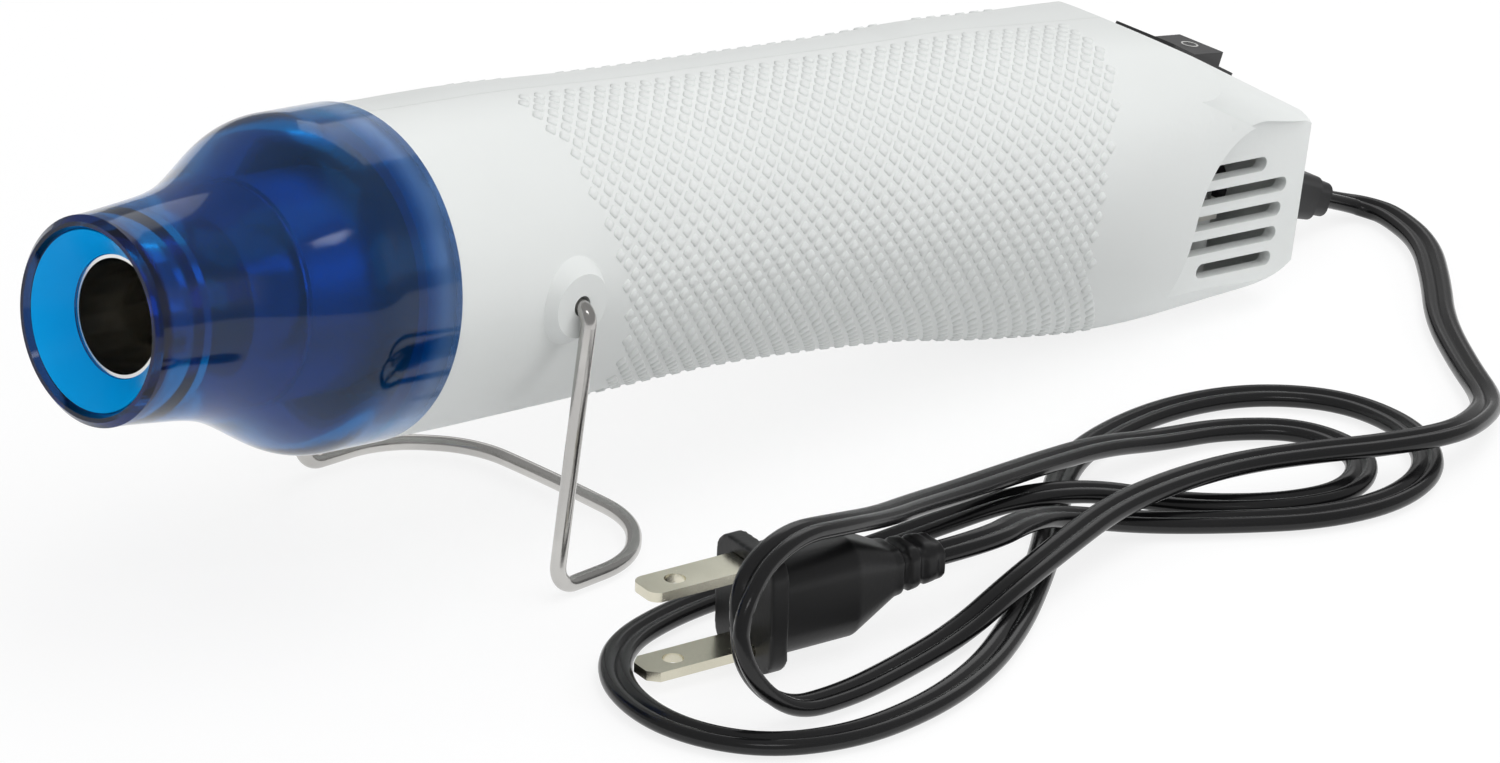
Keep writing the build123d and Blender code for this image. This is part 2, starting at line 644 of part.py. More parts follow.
def switch():
    """The rocker switch in the sloping deck: frame, pin, tabs, and the rocker with its rear half up."""
    deck = slope_plane()
    flange = Box(2 * bezel_half_length, 2 * bezel_half_width, bezel_height,
                 align=(Align.CENTER, Align.CENTER, Align.MIN))
    flange = fillet(flange.edges().filter_by(Axis.Z), bezel_corner)
    frame = flange + Box(2 * switch_half_length, 2 * switch_half_width, switch_depth,
                         align=(Align.CENTER, Align.CENTER, Align.MAX))
    frame -= Pos(0, 0, -(switch_depth - switch_wall)) * Box(
        2 * (switch_half_length - switch_wall / 2), 2 * (switch_half_width - switch_wall),
        switch_depth + overrun, align=(Align.CENTER, Align.CENTER, Align.MIN))
    pivot = Pos(0, 0, -rocker_pivot_depth)
    across = Rot(90, 0, 0)
    frame -= pivot * across * Cylinder(rocker_pin_radius, 2 * bezel_half_width)
    pin = pivot * across * Cylinder(rocker_pin_radius, 2 * switch_half_width)
    outline = make_face(Polyline((0, rocker_dip_height), (rocker_half_length, rocker_end_height),
                                 (rocker_half_length, -rocker_skirt), (0, -rocker_pivot_depth),
                                 (-rocker_half_length, -rocker_skirt), (-rocker_half_length, rocker_end_height),
                                 close=True))
    rocker = extrude(Plane.XZ * outline, amount=rocker_half_width, both=True)
    drum = pivot * across * Cylinder(rocker_drum_radius, 2 * rocker_half_width)
    rocker = rocker + drum
    rocker -= pivot * across * Cylinder(rocker_pin_radius + pin_gap, 4 * rocker_half_width)
    rocker = pivot * Rot(0, -rocker_throw, 0) * Pos(0, 0, rocker_pivot_depth) * rocker
    tabs = []
    for side in (-1, 1):
        tab = Pos(side * tab_spacing / 2, 0, -switch_depth) * Box(
            tab_thickness, tab_width, tab_length, align=(Align.CENTER, Align.CENTER, Align.MAX))
        tabs.append(deck * tab)
    return {"switch_frame": deck * frame, "rocker_pin": deck * pin, "rocker": deck * rocker,
            "switch_tabs": tabs}


def screws():
    """The self-tapping screws that join the shells from the right side."""
    pieces = []
    for u, z in post_places:
        shank = cross_rod(u, z, screw_radius, screw_seat - screw_length, screw_seat)
        head = cross_rod(u, z, screw_head_radius, screw_seat, screw_seat + screw_head)
        slot = block((u - screw_head_radius, screw_seat + screw_head / 2, z - screw_radius / 4),
                     (u + screw_head_radius, screw_seat + 2 * screw_head, z + screw_radius / 4))
        cross = block((u - screw_radius / 4, screw_seat + screw_head / 2, z - screw_head_radius),
                      (u + screw_radius / 4, screw_seat + 2 * screw_head, z + screw_head_radius))
        pieces.append(shank + head - slot - cross)
    return pieces


def largest_radii(points):
    """The largest bend that the runs beside each inner point of a route allow."""
    spots = [Vector(*point) for point in points]
    runs = [after - before for before, after in zip(spots, spots[1:])]
    return [bend_share * min(first.length, second.length) / math.tan(math.radians(first.get_angle(second) / 2))
            for first, second in zip(runs, runs[1:])]


def swept(line, radius):
    """A round wire or tube along a line."""
    return sweep(Plane(origin=line @ 0, z_dir=line % 0) * Circle(radius), line)


def tool_tilt():
    """How far the tool leans back, from its wire foot to the belly of its handle, in degrees."""
    belly = [shares for shares in station_shares if shares[0] == belly_share][0]
    run = body_front + belly[0] * (tool_length - body_front) - pivot_place
    drop = stand_leg + stand_wire_radius - belly[3] * barrel_radius
    return math.degrees(math.atan2(drop, run))


def stand():
    """The bent wire: a pin in each boss, two legs, and a round foot that lies flat on the table."""
    tilt = math.radians(tool_tilt())
    half, leg = stand_half_width, stand_leg

    def foot(forward, side):
        return (pivot_place + forward * math.cos(tilt), side * half, -leg + forward * math.sin(tilt))

    def foot_point(forward, y):
        x, _, z = foot(forward, 1)
        return (x, y, z)
    pin_end = half - stand_pin_length
    corner = foot_depth * foot_corner_share
    points = [
        (pivot_place, -pin_end, 0), (pivot_place, -half, 0), foot(0.0, -1),
        foot_point(corner, -half * foot_side_share), foot_point(foot_depth, -half * foot_corner_share),
        foot_point(foot_depth * foot_crown_share, 0), foot_point(foot_depth, half * foot_corner_share),
        foot_point(corner, half * foot_side_share), foot(0.0, 1), (pivot_place, half, 0), (pivot_place, pin_end, 0)]
    radii = largest_radii(points)
    for i, bend in ((0, stand_bend), (1, stand_foot_bend)):
        radii[i] = radii[-1 - i] = min(radii[i], bend)
    return swept(FilletPolyline(*points, radius=radii), stand_wire_radius)


def relief_frame():
    """The strain relief's own frame: X along its drooping axis from the rear wall."""
    return Pos(tool_length, 0, relief_height) * Rot(0, relief_droop, 0)


def strain_relief():
    """A tapered boot with a neck through the rear wall and a flange behind it."""
    frame = relief_frame()
    main = relief_length - relief_nose_length
    sizes = [(0.0, relief_root_size), (main, relief_tip_size)]
    faces = [frame * Pos(place, 0, 0) * Rot(0, 90, 0) * RectangleRounded(size, size, relief_corner)
             for place, size in sizes]
    boot = loft(faces)
    nose = frame * Pos(main, 0, 0) * Rot(0, 90, 0) * extrude(
        RectangleRounded(relief_nose_size, relief_nose_size, relief_corner), amount=relief_nose_length)
    boot = boot + nose
    boot = boot & block((tool_length, -barrel_radius, -2 * barrel_radius),
                        (2 * tool_length, barrel_radius, barrel_radius))
    lean = relief_root_size * math.sin(math.radians(relief_droop))
    boot += frame * Pos(-lean, 0, 0) * Rot(0, 90, 0) * extrude(
        RectangleRounded(relief_root_size, relief_root_size, relief_corner), amount=lean) & block(
        (tool_length, -barrel_radius, -2 * barrel_radius), (2 * tool_length, barrel_radius, barrel_radius))
    inside = tool_length - shell_wall
    boot += rod(inside - relief_flange - fit_gap, tool_length + shell_wall / 2, relief_neck_radius, 0,
                relief_height)
    boot += rod(inside - relief_flange - fit_gap, inside - fit_gap, relief_flange_radius, 0, relief_height)
    return boot


def wires():
    """Three insulated wires inside the handle: cord to switch, cord to board, and switch to board."""
    deck = slope_plane()
    inside = tool_length - shell_wall - relief_flange - fit_gap
    groove = relief_height - clamp_height / 2 - lead_radius
    before = clamp_place() - clamp_length
    behind = clamp_place() + clamp_length
    board = motor_rear + board_gap + board_thickness

    def tab_end(side, drop):
        """A point below one of the switch's tabs."""
        spot = deck.from_local_coords((side * tab_spacing / 2, 0, -switch_depth - tab_length - drop))
        return tuple(spot)
    end_y, end_z = wire_end_offset, wire_end_height
    routes = (
        ((inside, lead_offset, relief_height), (behind - lead_radius, lead_offset, groove),
         (before, lead_offset, groove), tab_end(1, wire_drop), tab_end(1, 0)),
        ((inside, -lead_offset, relief_height), (behind - lead_radius, -lead_offset, groove),
         (board + wire_far_run, -lead_offset, groove), (board + wire_near_run, -end_y, end_z),
         (board, -end_y, end_z)),
        (tab_end(-1, 0), tab_end(-1, wire_drop), (board + wire_far_run, end_y, end_z + wire_drop),
         (board + wire_near_run, end_y, end_z), (board, end_y, end_z)),
    )
    return [swept(FilletPolyline(*route, radius=largest_radii(route)), lead_radius) for route in routes]


def plug_frame():
    """The plug's own frame: X back along its axis from the middle of its front face, Z up."""
    back = Vector(*plug_axis).normalized()
    side = Vector(0, 0, 1).cross(back).normalized()
    return Plane(origin=plug_place, x_dir=back, z_dir=back.cross(side))


def plug():
    """The moulded plug with a winged front, a ribbed neck and two flat blades, one above the other."""
    frame = plug_frame()

    def slab(place, height, width, corner):
        """One cross section of the plug."""
        return Pos(place, 0, 0) * Rot(0, 90, 0) * RectangleRounded(height, width, corner)
    body_end = plug_flange + plug_body_length
    neck = body_end + plug_taper
    body = extrude(slab(0, plug_flange_height, plug_flange_width, plug_flange_corner), amount=plug_flange)
    body += extrude(slab(0, plug_body_height, plug_body_width, plug_body_corner), amount=body_end)
    body += loft([slab(body_end, plug_body_height, plug_body_width, plug_body_corner),
                  slab(neck, plug_neck_height, plug_neck_width, plug_neck_corner)])
    body += loft([slab(neck, plug_neck_height, plug_neck_width, plug_neck_corner),
                  slab(plug_length, plug_neck_height - plug_neck_waist, plug_neck_width - plug_neck_waist,
                       plug_neck_corner)])
    pitch = (plug_length - neck) / rib_count
    for row in range(rib_count):
        place = neck + (row + 0.5) * pitch
        ring = extrude(slab(place, 2 * plug_neck_height, 2 * plug_neck_width, plug_neck_corner), amount=rib_gap)
        body -= ring - extrude(slab(place, plug_neck_height - 2 * rib_depth, plug_neck_width - 2 * rib_depth,
                                    plug_neck_corner - rib_depth), amount=rib_gap)
    blades = []
    for side in (-1, 1):
        blade = Pos(0, 0, side * blade_pitch / 2) * block(
            (-blade_length, -blade_width / 2, -blade_thick / 2), (blade_root, blade_width / 2, blade_thick / 2))
        tip = blade.edges().filter_by(Axis.Z).group_by(Axis.X)[0]
        blade = fillet(tip, blade_tip_round) if side > 0 else chamfer(tip, blade_tip_cut)
        body = body - blade
        hole = Pos(-blade_hole_place, 0, side * blade_pitch / 2) * Cylinder(blade_hole_radius, 2 * blade_thick)
        blades.append(frame * (blade - hole))
    return frame * body, blades


def lead_and_hank(start, heading):
    """The cord's two lengths, from the strain relief's nose along the table to the plug's neck."""
    frame = plug_frame()
    last = frame.from_local_coords((plug_length, 0, 0))
    before = frame.from_local_coords((plug_length + plug_run, 0, 0))
    first = start + heading * lead_first_run
    routes = {"cord_lead": [tuple(start), tuple(first), *lead_route, hank_start],
              "cord_hank": [hank_start, *hank_route, tuple(before), tuple(last)]}
    pieces = {}
    for name, route in routes.items():
        radii = largest_radii(route)
        line = FilletPolyline(*route, radius=radii)
        pieces[name] = swept(line, cord_radius)
        exact = math.pi * cord_radius ** 2 * line.length
        print(name, "length", round(line.length, 1), "volume share", round(pieces[name].volume / exact, 4),
              "least radius", round(min(radii), 2), "radii", [round(radius, 1) for radius in radii])
        spots = [line @ (i / 1000) for i in range(1001)]
        step = line.length / 1000
        apart = [(spots[i] - spots[j]).length - 2 * cord_radius for i in range(len(spots))
                 for j in range(i + int(8 * cord_radius / step), len(spots))]
        print(name, "least gap to itself", round(min(apart), 2))
    return pieces


os.makedirs("parts", exist_ok=True)
nodes = {}
nodes["left_shell"], nodes["right_shell"] = shells()
nodes["nozzle_cap"] = nozzle_cap()
nodes.update(heater())
nodes.update(fan_and_motor())
nodes.update(rectifier())
nodes.update(switch())
nodes["shell_screws"] = screws()
nodes["stand_wire"] = stand()
nodes["strain_relief"] = strain_relief()
nodes["cord_clamp"], nodes["clamp_screws"] = cord_clamp()
nodes["inner_wires"] = wires()


def pieces_of(shape):
    """The solids of a node, whether it is one piece or a group."""
    return [solid for item in (shape if isinstance(shape, list) else [shape]) for solid in item.solids()]


tilted = {name: [Rot(0, tool_tilt(), 0) * piece for piece in pieces_of(shape)] for name, shape in nodes.items()}
whole = Compound(children=[piece for group in tilted.values() for piece in group]).bounding_box()
seat = Pos(-(whole.min.X + whole.max.X) / 2, -(whole.min.Y + whole.max.Y) / 2, -whole.min.Z)
placed = {name: [seat * piece for piece in group] for name, group in tilted.items()}
nose = seat * Rot(0, tool_tilt(), 0) * relief_frame() * Pos(relief_length, 0, 0)
nose_end = nose.position
nose_heading = (nose * Pos(1, 0, 0)).position - nose_end
table_nodes = lead_and_hank(nose_end, nose_heading)
table_nodes["plug_body"], table_nodes["plug_blades"] = plug()
placed.update({name: pieces_of(shape) for name, shape in table_nodes.items()})
for name, group in placed.items():
    export_step(Compound(children=group), "parts/" + name + ".step")
print("tilt", tool_tilt(), "seat", seat.position, "box", whole.size)
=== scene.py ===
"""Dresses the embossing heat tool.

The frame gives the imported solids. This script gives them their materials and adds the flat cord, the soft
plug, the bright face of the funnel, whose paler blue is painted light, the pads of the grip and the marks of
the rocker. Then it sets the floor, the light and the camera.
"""
from __future__ import annotations

import json
import logging
import math
from dataclasses import dataclass
from enum import Enum
from typing import Callable, Sequence

import bpy
from mathutils import Matrix, Vector

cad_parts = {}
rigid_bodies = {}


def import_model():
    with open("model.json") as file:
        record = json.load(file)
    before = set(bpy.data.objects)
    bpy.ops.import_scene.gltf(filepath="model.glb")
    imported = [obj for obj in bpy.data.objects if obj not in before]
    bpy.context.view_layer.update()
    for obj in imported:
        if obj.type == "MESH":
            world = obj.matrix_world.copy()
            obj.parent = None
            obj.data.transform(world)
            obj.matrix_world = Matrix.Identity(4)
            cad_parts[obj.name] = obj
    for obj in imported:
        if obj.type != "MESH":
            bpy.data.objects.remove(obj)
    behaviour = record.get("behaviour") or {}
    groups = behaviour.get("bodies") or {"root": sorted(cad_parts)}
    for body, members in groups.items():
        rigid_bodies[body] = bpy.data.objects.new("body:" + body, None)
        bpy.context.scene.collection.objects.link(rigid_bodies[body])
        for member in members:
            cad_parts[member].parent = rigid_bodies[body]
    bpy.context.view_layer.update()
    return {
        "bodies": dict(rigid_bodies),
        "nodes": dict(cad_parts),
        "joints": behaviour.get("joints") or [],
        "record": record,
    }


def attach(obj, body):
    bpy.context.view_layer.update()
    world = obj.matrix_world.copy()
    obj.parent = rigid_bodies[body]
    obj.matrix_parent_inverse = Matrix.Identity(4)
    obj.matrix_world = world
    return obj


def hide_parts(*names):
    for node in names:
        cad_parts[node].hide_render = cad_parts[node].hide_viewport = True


MM = 0.001
# How the tool leans on its stand, and where its own frame's origin, the nozzle's tip, then lies.
TILT = math.radians(6.036152)
SEAT = Vector((-130.489, 0.0, 52.4633)) * MM
SMOOTH_ANGLE = math.radians(40)
WHITE = (1.0, 1.0, 1.0, 1.0)
# The two noises of the surfaces, and the values between which the wide one fades over.
WIDE_SCALE = 18.0
WIDE_DETAIL = 3.0
WIDE_LOW = 0.35
WIDE_HIGH = 0.65
FINE_SCALE = 1400.0
FINE_DETAIL = 2.0
Colour = tuple[float, float, float]
Point = tuple[float, float, float]
Sockets = dict[str, bpy.types.NodeSocket]
log = logging.getLogger("heat_tool")


class Body(Enum):
    """The moving bodies that the new pieces ride on."""

    HOUSING = "housing"
    ROCKER = "rocker"


def tool_point(along: float, across: float, up: float) -> Vector:
    """Places a point of the tool's own frame in the finished part's frame.

    Args:
        along: Distance from the nozzle's tip along the axis, in mm.
        across: Distance to the right, in mm.
        up: Height over the axis, in mm.

    Returns:
        The same point in metres, as the tool leans on its stand.
    """
    lean = Matrix.Rotation(TILT, 3, "Y")
    return lean @ (Vector((along, across, up)) * MM) + SEAT


def clear_selection() -> None:
    """Deselects everything, so that an operator acts on its own piece alone."""
    if bpy.context.object and bpy.context.object.mode != "OBJECT":
        bpy.ops.object.mode_set(mode="OBJECT")
    bpy.ops.object.select_all(action="DESELECT")


def pick(piece: bpy.types.Object) -> None:
    """Makes a piece the only selected one and the active one.

    Args:
        piece: The piece to pick.
    """
    clear_selection()
    piece.select_set(True)
    bpy.context.view_layer.objects.active = piece


def settle(piece: bpy.types.Object) -> None:
    """Puts a finished piece's place in its mesh, with its object at the origin.

    Args:
        piece: The piece to settle.
    """
    pick(piece)
    bpy.ops.object.transform_apply(location=True, rotation=True, scale=True)


def face_outward(piece: bpy.types.Object) -> None:
    """Turns all faces of a closed piece outward.

    Args:
        piece: The piece, which stays picked.
    """
    pick(piece)
    bpy.ops.object.mode_set(mode="EDIT")
    bpy.ops.mesh.select_all(action="SELECT")
    bpy.ops.mesh.normals_make_consistent(inside=False)
    bpy.ops.object.mode_set(mode="OBJECT")


def mesh_piece(name: str, verts: Sequence[Vector], faces: Sequence[tuple[int, ...]]) -> bpy.types.Object:
    """Makes a closed piece from its vertices and faces.

    Args:
        name: The piece's name.
        verts: Its vertices, in metres.
        faces: Its faces, as numbers of vertices.

    Returns:
        The piece, picked, with its faces turned outward.
    """
    mesh = bpy.data.meshes.new(name)
    mesh.from_pydata(verts, [], faces)
    piece = bpy.data.objects.new(name, mesh)
    bpy.context.collection.objects.link(piece)
    face_outward(piece)
    return piece


class Graph:
    """A short way to write the nodes of a material or a node group."""

    def __init__(self, tree: bpy.types.NodeTree) -> None:
        """Keeps the tree that the nodes go into.

        Args:
            tree: A material's or a group's node tree.
        """
        self.tree = tree

    def feed(self, place: bpy.types.NodeSocket, value: object) -> None:
        """Links a socket to an input, or sets the input's own value.

        Args:
            place: The input.
            value: A socket or a plain value.
        """
        if isinstance(value, bpy.types.NodeSocket):
            self.tree.links.new(value, place)
        else:
            place.default_value = value

    def add(self, kind: str, inputs: dict | None = None, **settings: object) -> bpy.types.Node:
        """Adds a node, sets it up and feeds its inputs.

        Args:
            kind: The node's type without its ShaderNode prefix.
            inputs: Values or sockets by input name or number.
            settings: Settings of the node itself.

        Returns:
            The new node.
        """
        node = self.tree.nodes.new("ShaderNode" + kind)
        for name, value in settings.items():
            setattr(node, name, value)
        for key, value in (inputs or {}).items():
            self.feed(node.inputs[key], value)
        return node

    def math(self, operation: str, *values: object) -> bpy.types.NodeSocket:
        """Adds one math node.

        Args:
            operation: The operation's name.
            values: Numbers or sockets.

        Returns:
            The node's output.
        """
        return self.add("Math", dict(enumerate(values)), operation=operation).outputs[0]

    def step(self, value: object, low: float, high: float) -> bpy.types.NodeSocket:
        """Ramps smoothly from 0 at low to 1 at high, or down where low is the larger.

        Args:
            value: A number or socket.
            low: Where the ramp is 0.
            high: Where the ramp is 1.

        Returns:
            The ramp's output.
        """
        node = self.add("MapRange", {"Value": value, "From Min": low, "From Max": high},
                        interpolation_type="SMOOTHSTEP")
        return node.outputs[0]

    def blend(self, share: object, first: object, second: object) -> bpy.types.NodeSocket:
        """Mixes two colours by a share.

        Args:
            share: How much of the second colour there is.
            first: The first colour or socket.
            second: The second colour or socket.

        Returns:
            The mixed colour.
        """
        node = self.add("Mix", {0: share}, data_type="RGBA")
        for place, value in ((6, first), (7, second)):
            linked = isinstance(value, bpy.types.NodeSocket)
            self.feed(node.inputs[place], value if linked else (*value, 1.0))
        return node.outputs[2]

    def bump(self, height: bpy.types.NodeSocket, strength: float, depth: float,
             **more: object) -> bpy.types.Node:
        """Adds a bump node.

        Args:
            height: The mask or noise that gives the relief.
            strength: How strongly the relief shows.
            depth: Its depth, in mm.
            more: Further settings of the node.

        Returns:
            The node.
        """
        values = {"Height": height, "Strength": strength, "Distance": depth * MM}
        return self.add("Bump", values, **more)


def group(name: str, inputs: dict[str, float], outputs: Sequence[str],
          fill: Callable[[Graph, bpy.types.Node], Sockets]) -> bpy.types.NodeTree:
    """Makes a shared node group with named float sockets, once.

    Args:
        name: The group's name.
        inputs: Its input sockets and their usual values.
        outputs: The names of its output sockets.
        fill: Builds the nodes and returns the socket for each output.

    Returns:
        The group's tree.
    """
    if name in bpy.data.node_groups:
        return bpy.data.node_groups[name]
    tree = bpy.data.node_groups.new(name, "ShaderNodeTree")
    for socket, value in inputs.items():
        made = tree.interface.new_socket(name=socket, in_out="INPUT", socket_type="NodeSocketFloat")
        made.default_value = value
    for socket in outputs:
        tree.interface.new_socket(name=socket, in_out="OUTPUT", socket_type="NodeSocketFloat")
    source = tree.nodes.new("NodeGroupInput")
    sink = tree.nodes.new("NodeGroupOutput")
    for socket, value in fill(Graph(tree), source).items():
        tree.links.new(value, sink.inputs[socket])
    return tree


def tool_place() -> bpy.types.NodeTree:
    """Makes the group that gives a point's place in the tool's own frame.

    Returns:
        The group, with the distance along the tool, across it, and from its axis, in metres.
    """
    def fill(graph: Graph, source: bpy.types.Node) -> Sockets:
        """Turns object coordinates back by the tool's lean."""
        where = graph.add("TexCoord").outputs["Object"]
        mapped = graph.add("Mapping", {"Vector": where}, vector_type="TEXTURE")
        mapped.inputs["Location"].default_value = SEAT
        mapped.inputs["Rotation"].default_value = (0.0, TILT, 0.0)
        along, across, up = graph.add("SeparateXYZ", {0: mapped.outputs[0]}).outputs
        squares = graph.math("ADD", graph.math("MULTIPLY", across, across), graph.math("MULTIPLY", up, up))
        return {"Along": along, "Across": across, "Radius": graph.math("SQRT", squares)}

    return group("Tool place", {}, ("Along", "Across", "Radius"), fill)


def mottle() -> bpy.types.NodeTree:
    """Makes the group for slow, faint unevenness and for fine grain.

    Returns:
        The group, with the scales of its two noises as inputs.
    """
    def fill(graph: Graph, source: bpy.types.Node) -> Sockets:
        """Adds two noises, one wide and one fine."""
        where = graph.add("TexCoord").outputs["Object"]
        wide = graph.add("TexNoise", {"Vector": where, "Scale": source.outputs["Wide scale"],
                                      "Detail": WIDE_DETAIL})
        fine = graph.add("TexNoise", {"Vector": where, "Scale": source.outputs["Fine scale"],
                                      "Detail": FINE_DETAIL})
        return {"Wide": graph.step(wide.outputs[0], WIDE_LOW, WIDE_HIGH), "Fine": fine.outputs[0]}

    return group("Mottle", {"Wide scale": WIDE_SCALE, "Fine scale": FINE_SCALE}, ("Wide", "Fine"), fill)


@dataclass(frozen=True)
class Surface:
    """The nodes of a material that a finish adds its own details to.

    Attributes:
        graph: The material's graph.
        shader: Its Principled shader.
        plain: Its uneven colour.
        fine: The noise of its grain.
        grain: The bump of its grain.
    """

    graph: Graph
    shader: bpy.types.Node
    plain: bpy.types.NodeSocket
    fine: bpy.types.NodeSocket
    grain: bpy.types.Node


@dataclass(frozen=True)
class Finish:
    """A material with slow, faint unevenness in its colour and with fine grain. Lengths are in mm.

    Attributes:
        name: The material's name.
        colour: Its colour where the unevenness is high.
        shade: Its colour where the unevenness is low.
        roughness: Its roughness.
        grain: Depth of its grain.
        specular: Its specular level.
        relief: How strongly the grain shows.
        wide: Scale of the unevenness.
        fine: Scale of the grain.
    """

    name: str
    colour: Colour
    shade: Colour
    roughness: float = 0.45
    grain: float = 0.02
    specular: float = 0.5
    relief: float = 0.5
    wide: float = WIDE_SCALE
    fine: float = FINE_SCALE

    def make(self) -> bpy.types.Material:
        """Builds the material.

        Returns:
            The finished material.
        """
        material = bpy.data.materials.new(self.name)
        material.use_nodes = True
        material.node_tree.nodes.clear()
        graph = Graph(material.node_tree)
        shader = graph.add("BsdfPrincipled")
        graph.add("OutputMaterial", {0: shader.outputs[0]})
        scales = {"Wide scale": self.wide, "Fine scale": self.fine}
        noise = graph.add("Group", scales, node_tree=mottle()).outputs
        plain = graph.blend(noise["Wide"], self.shade, self.colour)
        grain = graph.bump(noise["Fine"], self.relief, self.grain)
        graph.feed(shader.inputs["Base Color"], plain)
        graph.feed(shader.inputs["Normal"], grain.outputs[0])
        shader.inputs["Roughness"].default_value = self.roughness
        shader.inputs["Specular IOR Level"].default_value = self.specular
        self.detail(Surface(graph, shader, plain, noise["Fine"], grain))
        return material

    def detail(self, surface: Surface) -> None:
        """Adds what only this kind of finish has.

        Args:
            surface: The nodes to add it to.
        """


@dataclass(frozen=True)
class Moulded(Finish):
    """A moulded plastic or rubber."""


@dataclass(frozen=True)
class Metal(Finish):
    """A worked metal, whose grain also varies its roughness.

    Attributes:
        spread: How far the roughness goes up and down, as a share of it.
    """

    roughness: float = 0.28
    grain: float = 0.01
    relief: float = 0.4
    wide: float = 60.0
    fine: float = 2400.0
    spread: float = 0.3

    def detail(self, surface: Surface) -> None:
        """Adds the varying roughness.

        Args:
            surface: The nodes to add it to.
        """
        values = {"Value": surface.fine, "To Min": self.roughness * (1 - self.spread),
                  "To Max": self.roughness * (1 + self.spread)}
        rough = surface.graph.add("MapRange", values)
        surface.graph.feed(surface.shader.inputs["Roughness"], rough.outputs[0])
        surface.shader.inputs["Metallic"].default_value = 1.0


@dataclass(frozen=True)
class ShellPlastic(Finish):
    """The shells' white plastic with the thin line where the halves meet. Lengths are in mm.

    Attributes:
        line: The colour of the line.
        line_core: Distance from the middle plane where the line is full.
        line_edge: Distance from the middle plane where it ends.
        line_share: How much of the line's colour shows.
        line_depth: Depth of the line.
        line_relief: How strongly its depth shows.
    """

    name: str = "shell_white"
    colour: Colour = (0.755, 0.775, 0.765)
    shade: Colour = (0.725, 0.745, 0.735)
    roughness: float = 0.42
    grain: float = 0.03
    specular: float = 0.45
    relief: float = 0.35
    wide: float = 14.0
    fine: float = 1100.0
    line: Colour = (0.62, 0.64, 0.63)
    line_core: float = 0.05
    line_edge: float = 0.16
    line_share: float = 0.35
    line_depth: float = 0.2
    line_relief: float = 0.5

    def detail(self, surface: Surface) -> None:
        """Adds the line.

        Args:
            surface: The nodes to add it to.
        """
        graph = surface.graph
        place = graph.add("Group", node_tree=tool_place()).outputs
        seam = graph.step(graph.math("ABSOLUTE", place["Across"]), self.line_edge * MM, self.line_core * MM)
        colour = graph.blend(graph.math("MULTIPLY", seam, self.line_share), surface.plain, self.line)
        joint = graph.bump(seam, self.line_relief, self.line_depth, invert=True)
        graph.feed(surface.shader.inputs["Base Color"], colour)
        graph.feed(surface.grain.inputs["Normal"], joint.outputs[0])


@dataclass(frozen=True)
class TintedClear(Finish):
    """The nozzle cap's clear tinted plastic, darker at its lip and paler at its rear edge, where a painted
    reflection shows. Lengths are in mm.

    Attributes:
        transmission: Its transmission weight.
        ior: Its index of refraction.
        lip: The colour of the lip.
        lip_front: Distance along the tool where the lip's colour starts to fade.
        lip_rear: Distance along the tool where it ends.
        lip_inner: Radius where the lip's colour starts.
        lip_outer: Radius where it is full.
        painted_reflection: The paler colour at the rear edge, a painted reflection of a soft box and of the
            white spigot seen through the plastic.
        reflection_front: Distance along the tool where this painted reflection starts.
        reflection_rear: Distance along the tool where it is full.
        reflection_share: How much of the painted reflection's colour shows.
    """

    name: str = "cap_blue"
    colour: Colour = (0.0, 0.1375, 0.418)
    shade: Colour = (0.0, 0.125, 0.38)
    roughness: float = 0.09
    grain: float = 0.01
    specular: float = 0.12
    relief: float = 0.15
    wide: float = 25.0
    fine: float = 900.0
    transmission: float = 0.93
    ior: float = 1.45
    lip: Colour = (0.004, 0.04, 0.16)
    lip_front: float = 2.0
    lip_rear: float = 3.2
    lip_inner: float = 12.6
    lip_outer: float = 13.2
    # Painted reflection: the paler colour of the rear edge stands in for a soft box's reflection and the
    # white spigot seen through the plastic.
    painted_reflection: Colour = (0.34, 0.52, 0.76)
    reflection_front: float = 43.0
    reflection_rear: float = 47.5
    reflection_share: float = 0.6

    def detail(self, surface: Surface) -> None:
        """Adds the lip, the painted reflection at the rear edge and the clearness.

        Args:
            surface: The nodes to add them to.
        """
        graph = surface.graph
        place = graph.add("Group", node_tree=tool_place()).outputs
        front = graph.step(place["Along"], self.lip_rear * MM, self.lip_front * MM)
        outside = graph.step(place["Radius"], self.lip_inner * MM, self.lip_outer * MM)
        # Painted reflection: the rear edge turns paler, for a soft box's reflection and the white spigot seen
        # through the plastic.
        rear = graph.step(place["Along"], self.reflection_front * MM, self.reflection_rear * MM)
        reflected_colour = graph.blend(graph.math("MULTIPLY", rear, self.reflection_share), surface.plain, self.painted_reflection)
        colour = graph.blend(graph.math("MULTIPLY", front, outside), reflected_colour, self.lip)
        graph.feed(surface.shader.inputs["Base Color"], colour)
        surface.shader.inputs["Transmission Weight"].default_value = self.transmission
        surface.shader.inputs["IOR"].default_value = self.ior


